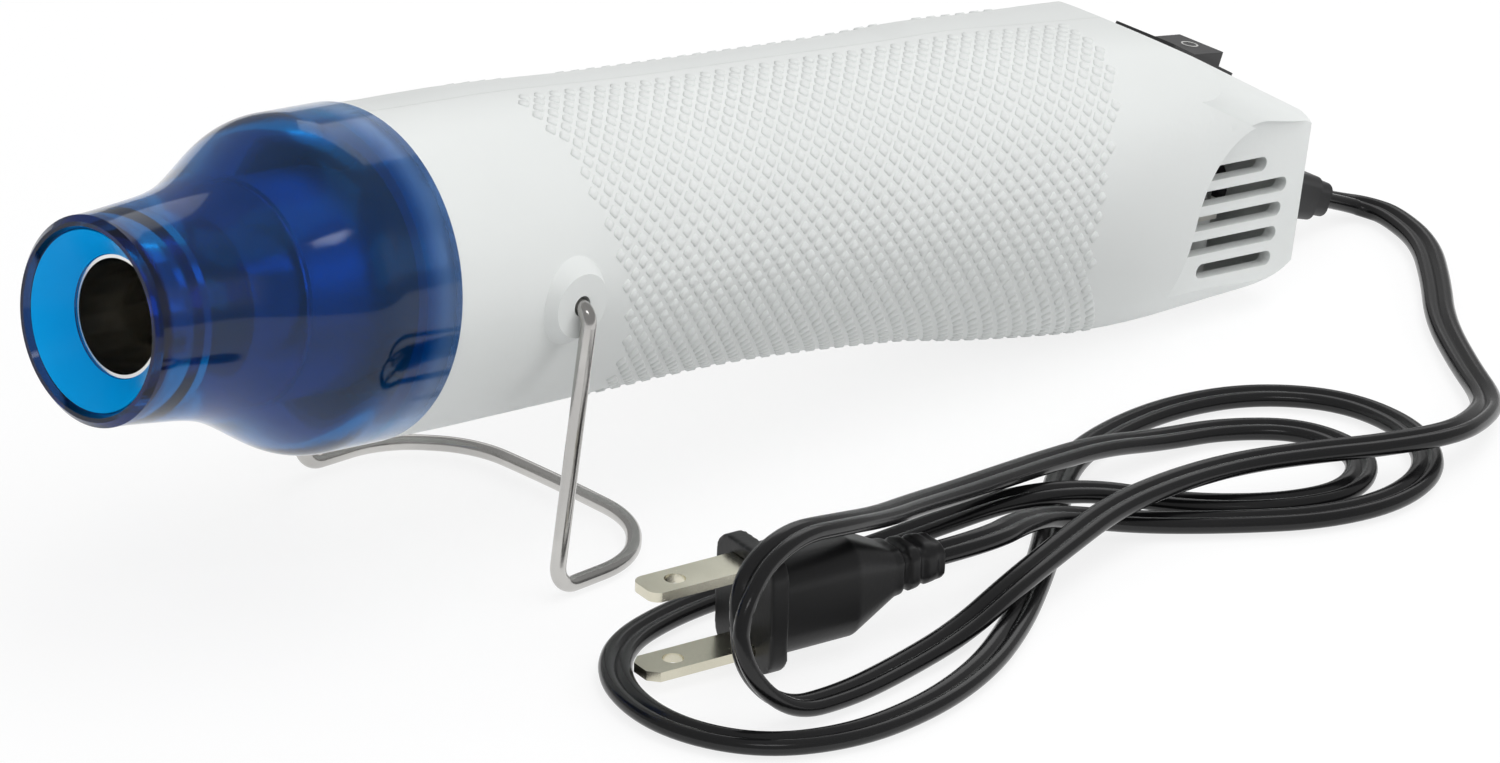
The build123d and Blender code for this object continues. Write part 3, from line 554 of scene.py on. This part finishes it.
class Finishes:
    """The finish of every slot of the record, for the nodes that wear it."""

    def table(self) -> dict[str, Finish]:
        """Lists the finishes by slot.

        Returns:
            Each slot's finish.
        """
        finishes = (
            ShellPlastic(),
            TintedClear(),
            Metal("outlet_steel", (0.85, 0.85, 0.84), (0.7, 0.7, 0.7), 0.16),
            Metal("barrel_steel", (0.95, 0.95, 0.93), (0.88, 0.88, 0.86), 0.42),
            Metal("stand_steel", (0.6, 0.59, 0.57), (0.5, 0.49, 0.475), 0.2, 0.0015),
            Moulded("mica", (0.62, 0.55, 0.42), (0.5, 0.44, 0.33), 0.6),
            Metal("coil_metal", (0.4, 0.38, 0.36), (0.3, 0.28, 0.26), 0.5),
            Metal("thermostat_case", (0.7, 0.7, 0.68), (0.6, 0.6, 0.58)),
            Metal("fuse_metal", (0.75, 0.74, 0.7), (0.65, 0.64, 0.6)),
            Moulded("ring_rubber", (0.45, 0.16, 0.12), (0.38, 0.13, 0.1), 0.7),
            Moulded("duct_plastic", (0.78, 0.77, 0.72), (0.72, 0.71, 0.66), 0.5),
            Metal("motor_steel", (0.6, 0.6, 0.6), (0.5, 0.5, 0.5)),
            Moulded("endbell_plastic", (0.05, 0.05, 0.05), (0.04, 0.04, 0.04), 0.5),
            Metal("bush_bronze", (0.7, 0.48, 0.24), (0.6, 0.4, 0.2)),
            Moulded("magnet", (0.05, 0.05, 0.05), (0.035, 0.035, 0.035), 0.7),
            Moulded("fan_plastic", (0.7, 0.7, 0.68), (0.64, 0.64, 0.62), 0.45),
            Moulded("board", (0.3, 0.2, 0.08), (0.24, 0.16, 0.06), 0.55),
            Metal("terminal_metal", (0.75, 0.68, 0.45), (0.65, 0.58, 0.38)),
            Moulded("diode_black", (0.03, 0.03, 0.03), (0.02, 0.02, 0.02), 0.5),
            Moulded("capacitor_case", (0.06, 0.07, 0.14), (0.05, 0.06, 0.12), 0.35),
            Moulded("switch_black", (0.018, 0.018, 0.019), (0.013, 0.013, 0.014), 0.42),
            Moulded("rocker_black", (0.02, 0.02, 0.021), (0.015, 0.015, 0.016), 0.34),
            Metal("pin_steel", (0.5, 0.5, 0.5), (0.4, 0.4, 0.4)),
            Moulded("relief_black", (0.022, 0.022, 0.023), (0.015, 0.015, 0.016), 0.45),
            Moulded("clamp_plastic", (0.78, 0.77, 0.72), (0.72, 0.71, 0.66), 0.5),
            Moulded("cord_black", (0.007, 0.007, 0.0075), (0.004, 0.004, 0.0045), 0.2, 0.02, 0.45),
            Moulded("plug_black", (0.010, 0.010, 0.0105), (0.006, 0.006, 0.0065), 0.4, 0.04, 0.38),
            Metal("blade_metal", (0.8, 0.77, 0.64), (0.68, 0.65, 0.53), 0.24),
            Moulded("wire_white", (0.75, 0.74, 0.7), (0.68, 0.67, 0.63), 0.45),
        )
        return {finish.name: finish for finish in finishes}

    def dress(self, frame: dict) -> dict[str, bpy.types.Material]:
        """Gives every node of the frame its slot's material.


        Returns:
            The materials by slot.
        """
        made = {slot: finish.make() for slot, finish in self.table().items()}
        for part in frame["record"]["subparts"]:
            node = frame["nodes"][part["node"]]
            for place in node.material_slots:
                place.material = made[part["material_slot"]]
        return made


@dataclass
class FlatCord:
    """The flat two-core cord, from the strain relief to the plug, as one mesh along a smooth line.

    Lengths are in mm.

    Attributes:
        route: The points that the cord is drawn along.
        width: Its width.
        thick: Its thickness.
        steps: Points of the smooth line for each point of the route.
        order: Order of the smooth line.
        core_arc: Half the arc of each core that shows, in degrees.
        core_points: Points on that arc.
        groove: Half the thickness between the two grooves, as a share of a core's radius.
        level_from: Sine of the line's angle from the vertical from which the cord turns flat.
        level_pull: How fast it turns flat there.
    """

    route: Sequence[Point]
    width: float = 5.0
    thick: float = 2.5
    steps: int = 10
    order: int = 3
    core_arc: float = 128.0
    core_points: int = 11
    groove: float = 0.5
    level_from: float = 0.05
    level_pull: float = 0.5

    def line(self) -> list[Vector]:
        """Follows the route with a smooth spline.

        Returns:
            Evenly read points of the spline, in metres.
        """
        curve = bpy.data.curves.new("cord_line", "CURVE")
        curve.dimensions = "3D"
        curve.resolution_u = self.steps
        spline = curve.splines.new("NURBS")
        spline.points.add(len(self.route) - 1)
        for spot, point in zip(spline.points, self.route):
            spot.co = (*(part * MM for part in point), 1.0)
        spline.order_u = self.order
        spline.use_endpoint_u = True
        carrier = bpy.data.objects.new("cord_line", curve)
        bpy.context.collection.objects.link(carrier)
        bpy.context.view_layer.update()
        mesh = bpy.data.meshes.new_from_object(carrier)
        points = [vertex.co.copy() for vertex in mesh.vertices]
        bpy.data.objects.remove(carrier)
        bpy.data.meshes.remove(mesh)
        return points

    def outline(self) -> list[tuple[float, float]]:
        """Draws the cord's section: two round cores joined by a web, with a groove on each face.

        Returns:
            The section's points in mm, across and up.
        """
        radius = self.thick / 2
        centre = (self.width - self.thick) / 2
        turn = 2 * self.core_arc / (self.core_points - 1)
        points = []
        for side, middle in ((1, 0.0), (-1, 180.0)):
            for i in range(self.core_points):
                angle = math.radians(middle - self.core_arc + i * turn)
                points.append((side * centre + radius * math.cos(angle), radius * math.sin(angle)))
            points.append((0.0, side * radius * self.groove))
        return points

    def across(self, ahead: Vector, before: Vector) -> Vector:
        """Finds the cord's wide direction, carried along the line and lying flat where the line runs level.

        Args:
            ahead: The line's direction.
            before: The wide direction at the point before.

        Returns:
            The wide direction here.
        """
        carried = (before - ahead * before.dot(ahead)).normalized()
        level = Vector((0, 0, 1)).cross(ahead)
        flat = level.length
        if flat <= self.level_from:
            return carried
        level = level.normalized() * (1 if level.dot(carried) >= 0 else -1)
        return carried.lerp(level, min(1.0, flat * flat * self.level_pull)).normalized()

    def build(self, material: bpy.types.Material) -> tuple[bpy.types.Object, list[Vector]]:
        """Sweeps the section along the line.

        Args:
            material: The cord's material.

        Returns:
            The cord and the points that it follows.
        """
        points = self.line()
        section = self.outline()
        count = len(section)
        verts: list[Vector] = []
        faces: list[tuple[int, ...]] = []
        across = Vector((0, 1, 0))
        for i, point in enumerate(points):
            ahead = (points[min(i + 1, len(points) - 1)] - points[max(i - 1, 0)]).normalized()
            across = self.across(ahead, across)
            rise = ahead.cross(across)
            verts += [point + across * (y * MM) + rise * (z * MM) for y, z in section]
            if i:
                low = (i - 1) * count
                high = low + count
                faces += [(low + k, low + (k + 1) % count, high + (k + 1) % count, high + k)
                          for k in range(count)]
        faces.append(tuple(reversed(range(count))))
        faces.append(tuple(range(len(verts) - count, len(verts))))
        cord = mesh_piece("cord", verts, faces)
        bpy.ops.object.shade_smooth_by_angle(angle=SMOOTH_ANGLE)
        cord.data.materials.append(material)
        return cord, points


@dataclass
class FunnelFace:
    """The bright face of the cap's funnel, a thin cone that lies on it round the steel outlet. Its paler blue
    is painted light, for the light that shines through the cap's clear plastic.

    Lengths are in mm.

    Attributes:
        front: Distance along the tool of its front edge.
        rear: Distance along the tool of its rear edge.
        front_radius: Radius of its front edge.
        rear_radius: Radius of its rear edge.
        thick: Its thickness.
        sides: Points round each edge.
        finish: Its plastic, a paler copy of the cap's blue that paints in the light shining through.
    """

    front: float = 1.0
    rear: float = 5.6
    front_radius: float = 13.2
    rear_radius: float = 9.12
    thick: float = 0.15
    sides: int = 128
    # Painted light: a paler, opaque blue stands in for the light shining through the cap's funnel.
    finish: Moulded = Moulded("funnel_painted_light", (0.0, 0.44, 0.98), (0.0, 0.40, 0.92), 0.3, 0.01, 0.12)

    def build(self) -> bpy.types.Object:
        """Models the face.

        Returns:
            The cone.
        """
        clear_selection()
        bpy.ops.mesh.primitive_cone_add(vertices=self.sides, radius1=self.front_radius * MM,
                                        radius2=self.rear_radius * MM, depth=(self.rear - self.front) * MM,
                                        end_fill_type="NOTHING")
        face = bpy.context.object
        face.name = "funnel_face"
        wall = face.modifiers.new("wall", "SOLIDIFY")
        wall.thickness = self.thick * MM
        wall.offset = -1.0
        bpy.ops.object.modifier_apply(modifier=wall.name)
        middle = tool_point((self.front + self.rear) / 2, 0.0, 0.0)
        face.matrix_world = Matrix.Translation(middle) @ Matrix.Rotation(TILT + math.pi / 2, 4, "Y")
        settle(face)
        face_outward(face)
        bpy.ops.object.shade_smooth_by_angle(angle=SMOOTH_ANGLE)
        face.data.materials.append(self.finish.make())
        return face


@dataclass
class GripPads:
    """The raised pads of one side's grip, set in crossing rows inside the grip's curved outline.

    The front edge slants and bows, and the rear edge bows to the rear. Both follow the photograph.

    Lengths are in mm.

    Attributes:
        side: -1 on the left and 1 on the right.
        edge: Distance from the middle plane where the pads start.
        pitch: Distance from a pad to the next one of its row.
        share: Distance from a pad's middle to its corner, as a share of the pitch.
        height: Height of a pad over the skin.
        depth: Whole height of a pad.
        rounding: Width of the bevel along a pad's edges.
        girth: Radius that turns a distance round the tool into an angle.
        first: Distance along the tool where the rows start.
        last: Distance along the tool where the rows end.
        front: Distance along the tool of the grip's front edge at the axis's height.
        front_slant: How far this edge goes to the rear for each mm of height.
        front_bow: Its bow, for each mm of height squared.
        rear: Distance along the tool of the grip's rear edge where it lies furthest forward.
        rear_low: Depth of that place under the axis.
        rear_bow: The rear edge's bow, for each mm of height squared.
        bend: Largest bend of the skin under a pad.
        screw_gap: Bare distance round a screw.
    """

    side: int
    edge: float
    pitch: float = 3.15
    share: float = 0.38
    height: float = 0.24
    depth: float = 0.8
    rounding: float = 0.26
    girth: float = 23.5
    first: float = 75.0
    last: float = 215.0
    front: float = 81.5
    front_slant: float = -0.35
    front_bow: float = 0.004
    rear: float = 187.2
    rear_low: float = 3.0
    rear_bow: float = 0.022
    bend: float = 0.25
    screw_gap: float = 5.0

    def pad(self) -> tuple[list[Vector], list[tuple[int, ...]]]:
        """Models one pad, lying with its top at the right height over the shell.

        Returns:
            The pad's vertices and faces, in metres.
        """
        clear_selection()
        bpy.ops.mesh.primitive_cylinder_add(vertices=4, radius=self.share * self.pitch * MM,
                                            depth=self.depth * MM,
                                            location=(0.0, 0.0, (self.height - self.depth / 2) * MM))
        pad = bpy.context.object
        bpy.ops.object.mode_set(mode="EDIT")
        bpy.ops.mesh.select_all(action="SELECT")
        bpy.ops.mesh.bevel(offset=self.rounding * MM, segments=1)
        bpy.ops.object.mode_set(mode="OBJECT")
        settle(pad)
        verts = [vertex.co.copy() for vertex in pad.data.vertices]
        faces = [tuple(face.vertices) for face in pad.data.polygons]
        bpy.data.objects.remove(pad)
        return verts, faces

    def skin(self, shell: bpy.types.Object, along: float, arc: float) -> Vector | None:
        """Finds the shell's skin at a place of the grip.

        Args:
            shell: The shell on this side.
            along: Distance along the tool, in mm.
            arc: Distance round the tool from its top, in mm.

        Returns:
            The point of the skin, or None where the look from outside misses the shell.
        """
        turn = arc / self.girth
        ring = (self.side * math.sin(turn), math.cos(turn))
        outer = tool_point(along, *(2 * self.girth * part for part in ring))
        inner = tool_point(along, 0.0, 0.0)
        hit, spot, _, _ = shell.ray_cast(outer, (inner - outer).normalized())
        return spot if hit else None

    def spots(self, shell: bpy.types.Object, along: float, arc: float) -> list[Vector | None]:
        """Finds the skin under a pad.

        Args:
            shell: The shell on this side.
            along: Distance of the pad's middle along the tool, in mm.
            arc: Distance of its middle round the tool from its top, in mm.

        Returns:
            The skin under its middle, its rear and front corners, and its lower and upper corners.
        """
        reach = self.share * self.pitch
        return [self.skin(shell, along + x * reach, arc + y * reach)
                for x, y in ((0, 0), (1, 0), (-1, 0), (0, 1), (0, -1))]

    def covers(self, spot: Vector) -> bool:
        """Tells whether a point of the skin lies inside the grip's outline.

        Args:
            spot: The point, in metres.

        Returns:
            True inside the grip.
        """
        along, across, up = (Matrix.Rotation(-TILT, 3, "Y") @ (spot - SEAT)) / MM
        front = self.front + self.front_slant * up + self.front_bow * up * up
        rear = self.rear + self.rear_bow * (up + self.rear_low) ** 2
        margin = self.share * self.pitch
        return front + margin < along < rear - margin and self.side * across > self.edge

    def holds(self, spots: Sequence[Vector | None], screws: Sequence[Vector]) -> bool:
        """Tells whether the skin carries a pad.

        Args:
            spots: The skin under the pad.
            screws: The vertices of the screws.

        Returns:
            True where the pad lies inside the grip, on an even skin and clear of the screws.
        """
        if None in spots or not self.covers(spots[0]):
            return False
        middle = sum(spots[1:], Vector()) / 4
        gap = min((spot - spots[0]).length for spot in screws)
        return (middle - spots[0]).length <= self.bend * MM and gap >= self.screw_gap * MM

    def turned(self, spots: Sequence[Vector]) -> Matrix:
        """Finds how a pad turns to lie on the skin.

        Args:
            spots: The skin under the pad.

        Returns:
            The pad's rotation, with Z out of the skin.
        """
        ahead = (spots[1] - spots[2]).normalized()
        out = ahead.cross(spots[3] - spots[4]).normalized() * self.side
        return Matrix((ahead, out.cross(ahead), out)).transposed()

    def build(self, name: str, shell: bpy.types.Object, screws: Sequence[Vector],
              material: bpy.types.Material) -> bpy.types.Object:
        """Sets the pads over the shell.

        Args:
            name: The piece's name.
            shell: The shell that carries the pads.
            screws: The vertices of the screws, which keep a bare ring round them.
            material: The shell's material.

        Returns:
            All the pads of this side, as one piece.
        """
        shape, sides = self.pad()
        verts: list[Vector] = []
        faces: list[tuple[int, ...]] = []
        half = self.pitch / 2
        for row in range(int(math.pi * self.girth / half)):
            for column in range(int(self.first / half), int(self.last / half)):
                if (row + column) % 2:
                    continue
                spots = self.spots(shell, column * half, row * half)
                if not self.holds(spots, screws):
                    continue
                turn = self.turned(spots)
                start = len(verts)
                verts += [turn @ point + spots[0] for point in shape]
                faces += [tuple(start + k for k in side) for side in sides]
        grip = mesh_piece(name, verts, faces)
        bpy.ops.object.shade_smooth()
        grip.data.materials.append(material)
        log.info("%s: %d pads", name, len(verts) // len(shape))
        return grip


@dataclass
class SoftPlug:
    """The moulded plug with the soft edges and rounded ribs of a rubbery moulding.

    Lengths are in mm.

    Attributes:
        weld: Distance within which the solid's vertices are joined.
        grain: Size of the cells that it is made anew from.
        softness: How far each round of smoothing goes.
        rounds: How many rounds there are.
    """

    weld: float = 0.001
    grain: float = 0.28
    softness: float = 0.5
    rounds: int = 5

    def build(self, rough: bpy.types.Object, material: bpy.types.Material) -> bpy.types.Object:
        """Copies the plain plug and softens every edge of the copy.

        Args:
            rough: The plain plug.
            material: The plug's material.

        Returns:
            The softened plug.
        """
        plug = bpy.data.objects.new("plug_soft", rough.data.copy())
        bpy.context.collection.objects.link(plug)
        plug.matrix_world = rough.matrix_world.copy()
        settle(plug)
        bpy.ops.object.mode_set(mode="EDIT")
        bpy.ops.mesh.select_all(action="SELECT")
        bpy.ops.mesh.remove_doubles(threshold=self.weld * MM)
        face_outward(plug)
        cells = plug.modifiers.new("cells", "REMESH")
        cells.mode = "VOXEL"
        cells.voxel_size = self.grain * MM
        bpy.ops.object.modifier_apply(modifier=cells.name)
        soft = plug.modifiers.new("soft", "SMOOTH")
        soft.factor = self.softness
        soft.iterations = self.rounds
        bpy.ops.object.modifier_apply(modifier=soft.name)
        bpy.ops.object.shade_smooth()
        plug.data.materials.clear()
        plug.data.materials.append(material)
        return plug


@dataclass
class RockerMarks:
    """The two generic marks on the rocker: a ring on its raised half and a bar on the other.

    Lengths are in mm.

    Attributes:
        pivot: The rocker's pivot, in metres.
        slope: Slope of the deck that it sits in, in degrees.
        throw: How far it is tipped from the deck at rest, in degrees.
        face_height: Distance from the pivot to the middle of its face.
        face_rise: How much higher the face's ends are than its middle.
        face_reach: Distance from the face's middle to its ends.
        away: Distance of each mark from the middle.
        proud: Height of each mark's own middle over the face.
        ring_radius: Radius of the ring.
        ring_line: Half the width of its line.
        ring_flat: Its height, as a share of that of a round one.
        ring_steps: Points along the ring and round its line.
        bar_size: Width, length and height of the bar.
        bar_edge: Rounding of the bar's edges.
        bar_steps: Steps of this rounding.
        paint: What both marks are printed in.
    """

    pivot: Vector
    slope: float = 24.4
    throw: float = 10.0
    face_height: float = 4.0
    face_rise: float = 1.2
    face_reach: float = 6.8
    away: float = 4.0
    proud: float = 0.02
    ring_radius: float = 1.25
    ring_line: float = 0.16
    ring_flat: float = 0.35
    ring_steps: tuple[int, int] = (40, 10)
    bar_size: Point = (0.34, 2.4, 0.1)
    bar_edge: float = 0.03
    bar_steps: int = 2
    paint: Moulded = Moulded("mark_white", (0.55, 0.55, 0.54), (0.45, 0.45, 0.44), 0.5)

    def place(self, along: float) -> Matrix:
        """Finds a spot on the rocker's face, which lies tipped in the sloping deck.

        Args:
            along: Distance from the pivot towards the rear, in mm.

        Returns:
            The spot's matrix, with Z out of the face.
        """
        half = math.atan2(self.face_rise, self.face_reach) * (1 if along > 0 else -1)
        turn = Matrix.Rotation(TILT + math.radians(self.slope - self.throw), 4, "Y")
        lift = self.face_height + abs(along) * self.face_rise / self.face_reach + self.proud
        spot = turn @ Vector((along * MM, 0.0, lift * MM)) + self.pivot
        return Matrix.Translation(spot) @ turn @ Matrix.Rotation(-half, 4, "Y")

    def ring(self) -> bpy.types.Object:
        """Models the ring.

        Returns:
            The ring, on the raised half.
        """
        clear_selection()
        bpy.ops.mesh.primitive_torus_add(major_radius=self.ring_radius * MM, minor_radius=self.ring_line * MM,
                                         major_segments=self.ring_steps[0],
                                         minor_segments=self.ring_steps[1])
        ring = bpy.context.object
        ring.name = "rocker_ring"
        ring.scale = (1.0, 1.0, self.ring_flat)
        settle(ring)
        ring.matrix_world = self.place(self.away)
        settle(ring)
        return ring

    def bar(self) -> bpy.types.Object:
        """Models the bar.

        Returns:
            The bar, on the lower half.
        """
        clear_selection()
        bpy.ops.mesh.primitive_cube_add(size=1.0)
        bar = bpy.context.object
        bar.name = "rocker_bar"
        bar.scale = [side * MM for side in self.bar_size]
        settle(bar)
        trim = bar.modifiers.new("edge", "BEVEL")
        trim.width = self.bar_edge * MM
        trim.segments = self.bar_steps
        bpy.ops.object.modifier_apply(modifier=trim.name)
        bar.matrix_world = self.place(-self.away)
        settle(bar)
        return bar

    def build(self) -> list[bpy.types.Object]:
        """Models both marks.

        Returns:
            The ring and the bar.
        """
        material = self.paint.make()
        marks = [self.ring(), self.bar()]
        for mark in marks:
            mark.data.materials.append(material)
        return marks


@dataclass(frozen=True)
class SoftBox:
    """One soft box of the studio.

    Attributes:
        name: The lamp's name.
        spot: Where it hangs, in metres.
        size: Its width and height, in metres.
        power: Its power, in watts.
        mirrored: Whether glossy surfaces mirror it.
    """

    name: str
    spot: Point
    size: tuple[float, float]
    power: float
    mirrored: bool = True

    def hang(self, aim: Point) -> None:
        """Hangs the lamp.

        Args:
            aim: The place that it points at, in metres.
        """
        data = bpy.data.lights.new(self.name, "AREA")
        data.shape = "RECTANGLE"
        data.size, data.size_y = self.size
        data.energy = self.power
        lamp = bpy.data.objects.new(self.name, data)
        bpy.context.collection.objects.link(lamp)
        lamp.visible_glossy = self.mirrored
        turn = (Vector(aim) - Vector(self.spot)).to_track_quat("-Z", "Y")
        lamp.matrix_world = Matrix.Translation(Vector(self.spot)) @ turn.to_matrix().to_4x4()


LAMPS = (
    SoftBox("top_box", (0.25, -0.3, 1.3), (1.3, 0.8), 7.6, mirrored=False),
    SoftBox("sheen_box", (-0.55, -0.8, 1.15), (0.55, 0.16), 1.3),
    SoftBox("front_box", (0.7, -1.2, 0.6), (0.9, 0.7), 6.0, mirrored=False),
    SoftBox("cap_box", (-0.75, -0.3, 0.75), (0.35, 0.35), 1.1, mirrored=False),
    SoftBox("rear_box", (0.95, 0.6, 0.85), (0.9, 0.6), 2.1, mirrored=False),
    SoftBox("glint_box", (0.9, 0.57, 0.81), (0.85, 0.57), 1.3),
)


@dataclass
class Studio:
    """The pale floor, the soft light and the camera at the photograph's angle.

    Attributes:
        spot: The camera's place, in metres.
        right: Direction of the picture's right side.
        up: Direction of its top.
        back: Direction from the object to the camera.
        lens: The camera's focal length, in mm.
        sensor: Width of its sensor, in mm.
        nearest: The nearest that it sees, in metres.
        farthest: The farthest that it sees, in metres.
        floor_size: Length of the floor's sides, in metres.
        floor_height: The floor's height, in metres.
        floor_colour: The floor's colour.
        floor_glow: Strength of the floor's own light.
        floor_share: How much of the floor's look is that light, in the camera's eye.
        lit: Strength of the surroundings as a light.
        seen: Strength of the surroundings in the camera's eye.
        aim: The place that the lamps point at, in metres.
    """

    spot: Vector
    right: Vector
    up: Vector
    back: Vector
    lens: float = 240.0
    sensor: float = 36.0
    nearest: float = 0.05
    farthest: float = 50.0
    floor_size: float = 12.0
    floor_height: float = -0.0004
    floor_colour: Colour = (0.93, 0.935, 0.94)
    floor_glow: float = 1.03
    floor_share: float = 0.8
    lit: float = 0.37
    seen: float = 1.0
    aim: Point = (0.0, 0.0, 0.04)

    def camera(self) -> None:
        """Sets the camera."""
        data = bpy.data.cameras.new("camera")
        data.lens = self.lens
        data.sensor_width = self.sensor
        data.sensor_fit = "HORIZONTAL"
        data.clip_start = self.nearest
        data.clip_end = self.farthest
        camera = bpy.data.objects.new("camera", data)
        bpy.context.collection.objects.link(camera)
        axes = Matrix((self.right.normalized(), self.up.normalized(), self.back.normalized())).transposed()
        camera.matrix_world = Matrix.Translation(self.spot) @ axes.to_4x4()
        bpy.context.scene.camera = camera

    def floor(self) -> None:
        """Lays a plain white floor that keeps the object's soft shadow."""
        clear_selection()
        bpy.ops.mesh.primitive_plane_add(size=self.floor_size, location=(0.0, 0.0, self.floor_height))
        floor = bpy.context.object
        floor.name = "floor"
        settle(floor)
        material = bpy.data.materials.new("floor")
        material.use_nodes = True
        material.node_tree.nodes.clear()
        graph = Graph(material.node_tree)
        lit = graph.add("BsdfDiffuse", {"Color": (*self.floor_colour, 1.0)})
        glow = graph.add("Emission", {"Color": WHITE, "Strength": self.floor_glow})
        path = graph.add("LightPath").outputs
        seen = graph.math("MAXIMUM", path["Is Camera Ray"], path["Is Glossy Ray"])
        seen = graph.math("MAXIMUM", seen, path["Is Transmission Ray"])
        share = graph.math("MULTIPLY", seen, self.floor_share)
        mix = graph.add("MixShader", {0: share, 1: lit.outputs[0], 2: glow.outputs[0]})
        graph.add("OutputMaterial", {0: mix.outputs[0]})
        floor.data.materials.append(material)

    def world(self) -> None:
        """Fills the surroundings with even pale light."""
        world = bpy.data.worlds.new("studio")
        world.use_nodes = True
        world.node_tree.nodes.clear()
        graph = Graph(world.node_tree)
        path = graph.add("LightPath").outputs
        seen = graph.math("MAXIMUM", path["Is Camera Ray"], path["Is Transmission Ray"])
        strength = graph.add("MapRange", {"Value": seen, "To Min": self.lit, "To Max": self.seen})
        back = graph.add("Background", {"Color": WHITE, "Strength": strength.outputs[0]})
        graph.add("OutputWorld", {0: back.outputs[0]})
        bpy.context.scene.world = world

    def light(self) -> None:
        """Hangs the lamps."""
        for lamp in LAMPS:
            lamp.hang(self.aim)
        bpy.context.scene.view_settings.view_transform = "Standard"


# Its smoothed line cuts the corners and is a little shorter. The rocker's pivot in the tool's
# own frame, in mm.
ROCKER_PIVOT: Point = (223.3607, 0.0, 7.4001)
# The points that the cord is drawn along, in mm: first its lead and then its coil.
CORD_ROUTE: tuple[Point, ...] = (
    (131.0, 0.0, 4.9), (137.6, 0.0, 2.3), (140.6, -2.6, 1.5), (141.2, -7.2, 1.5), (137.0, -18.3, 1.5),
    (126.8, -29.8, 1.5), (115.4, -41.0, 1.5), (105.4, -55.0, 1.5), (96.8, -68.0, 2.2), (87.3, -74.2, 4.2),
    (76.2, -78.4, 6.2), (64.0, -75.6, 6.6), (53.0, -71.0, 6.8), (41.0, -67.0, 7.0), (27.5, -66.4, 7.6),
    (13.5, -67.0, 7.4), (-1.0, -70.5, 6.4), (-14.5, -74.0, 5.4), (-28.0, -76.6, 2.6), (-42.0, -78.4, 1.7),
    (-55.0, -80.0, 1.7), (-67.5, -80.2, 2.9), (-75.0, -77.6, 12.0), (-71.0, -74.2, 22.2),
    (-59.5, -71.6, 25.4), (-46.5, -69.2, 22.4), (-34.5, -65.5, 18.8), (-22.5, -61.0, 15.8),
    (-10.0, -57.0, 12.8), (3.5, -53.6, 10.4), (17.5, -50.0, 7.8), (31.0, -47.6, 5.6), (44.5, -47.0, 2.6),
    (57.5, -48.5, 1.5), (67.5, -56.5, 1.5), (67.5, -69.0, 1.5), (57.0, -76.6, 1.5), (44.5, -73.8, 1.5),
    (32.0, -64.2, 1.5), (20.0, -57.4, 5.0), (6.5, -53.5, 6.2), (-8.0, -49.6, 3.8), (-23.0, -46.0, 1.5),
    (-39.0, -44.4, 1.5), (-55.0, -44.0, 1.5), (-69.5, -47.5, 1.5), (-79.0, -57.5, 1.5),
    (-82.0, -71.5, 1.5), (-76.5, -84.0, 1.5), (-64.0, -90.0, 1.5), (-48.5, -90.0, 1.5),
    (-33.0, -86.0, 1.5), (-18.5, -78.5, 1.5), (-5.5, -69.8, 1.5), (7.0, -60.6, 1.5), (18.0, -51.0, 1.5),
    (29.5, -42.5, 1.5), (43.5, -38.5, 1.5), (58.0, -38.0, 1.5), (71.5, -42.5, 1.5), (80.5, -53.0, 1.5),
    (80.5, -67.0, 1.5), (72.5, -78.5, 1.5), (59.5, -83.0, 1.5), (45.5, -80.6, 1.5), (32.5, -72.6, 1.5),
    (20.0, -64.6, 2.2), (7.5, -61.6, 5.8), (-3.8, -65.2, 9.4), (-14.7, -68.7, 10.7), (-24.5, -66.8, 10.4),
)


def add_cord(frame: dict, finishes: dict[str, bpy.types.Material]) -> None:
    """Adds the cord and its plug in place of their plain solids.

    Args:
        finishes: The materials by slot.
    """
    cord, line = FlatCord(CORD_ROUTE).build(finishes["cord_black"])
    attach(cord, Body.HOUSING.value)
    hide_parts("cord_lead", "cord_hank")
    plug = SoftPlug().build(frame["nodes"]["plug_body"], finishes["plug_black"])
    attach(plug, Body.HOUSING.value)
    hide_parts("plug_body")
    log.info("cord: %.3f m along its middle", sum((b - a).length for a, b in zip(line, line[1:])))


def add_funnel() -> None:
    """Adds the bright face of the cap's funnel, whose paler blue is painted light."""
    funnel = FunnelFace().build()
    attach(funnel, Body.HOUSING.value)


def add_grips(frame: dict, finishes: dict[str, bpy.types.Material]) -> None:
    """Adds the grip's pads on both shells.

    The right side's pads start lower, because the photograph shows none on its part of the top.

    Args:
        finishes: The materials by slot.
    """
    nodes = frame["nodes"]
    screws = [vertex.co.copy() for vertex in nodes["shell_screws"].data.vertices]
    sides = (("grip_left", "left_shell", GripPads(side=-1, edge=2.4)),
             ("grip_right", "right_shell", GripPads(side=1, edge=11.0)))
    for name, shell, pads in sides:
        grip = pads.build(name, nodes[shell], screws, finishes["shell_white"])
        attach(grip, Body.HOUSING.value)


def add_marks() -> None:
    """Adds the marks of the rocker."""
    for mark in RockerMarks(tool_point(*ROCKER_PIVOT)).build():
        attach(mark, Body.ROCKER.value)


def main() -> None:
    """Dresses the frame, adds the new pieces and sets the studio."""
    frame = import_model()
    studio = Studio(spot=Vector((-989.66, -974.49, 615.27)) * MM, right=Vector((0.7148, -0.6976, 0.0496)),
                    up=Vector((0.2476, 0.3187, 0.9149)), back=Vector((-0.6541, -0.6417, 0.4005)))
    studio.camera()
    finishes = Finishes().dress(frame)
    add_cord(frame, finishes)
    add_funnel()
    add_grips(frame, finishes)
    add_marks()
    studio.floor()
    studio.world()
    studio.light()


if __name__ == "__main__":
    logging.basicConfig(level=logging.INFO, format="%(name)s: %(message)s")
    main()
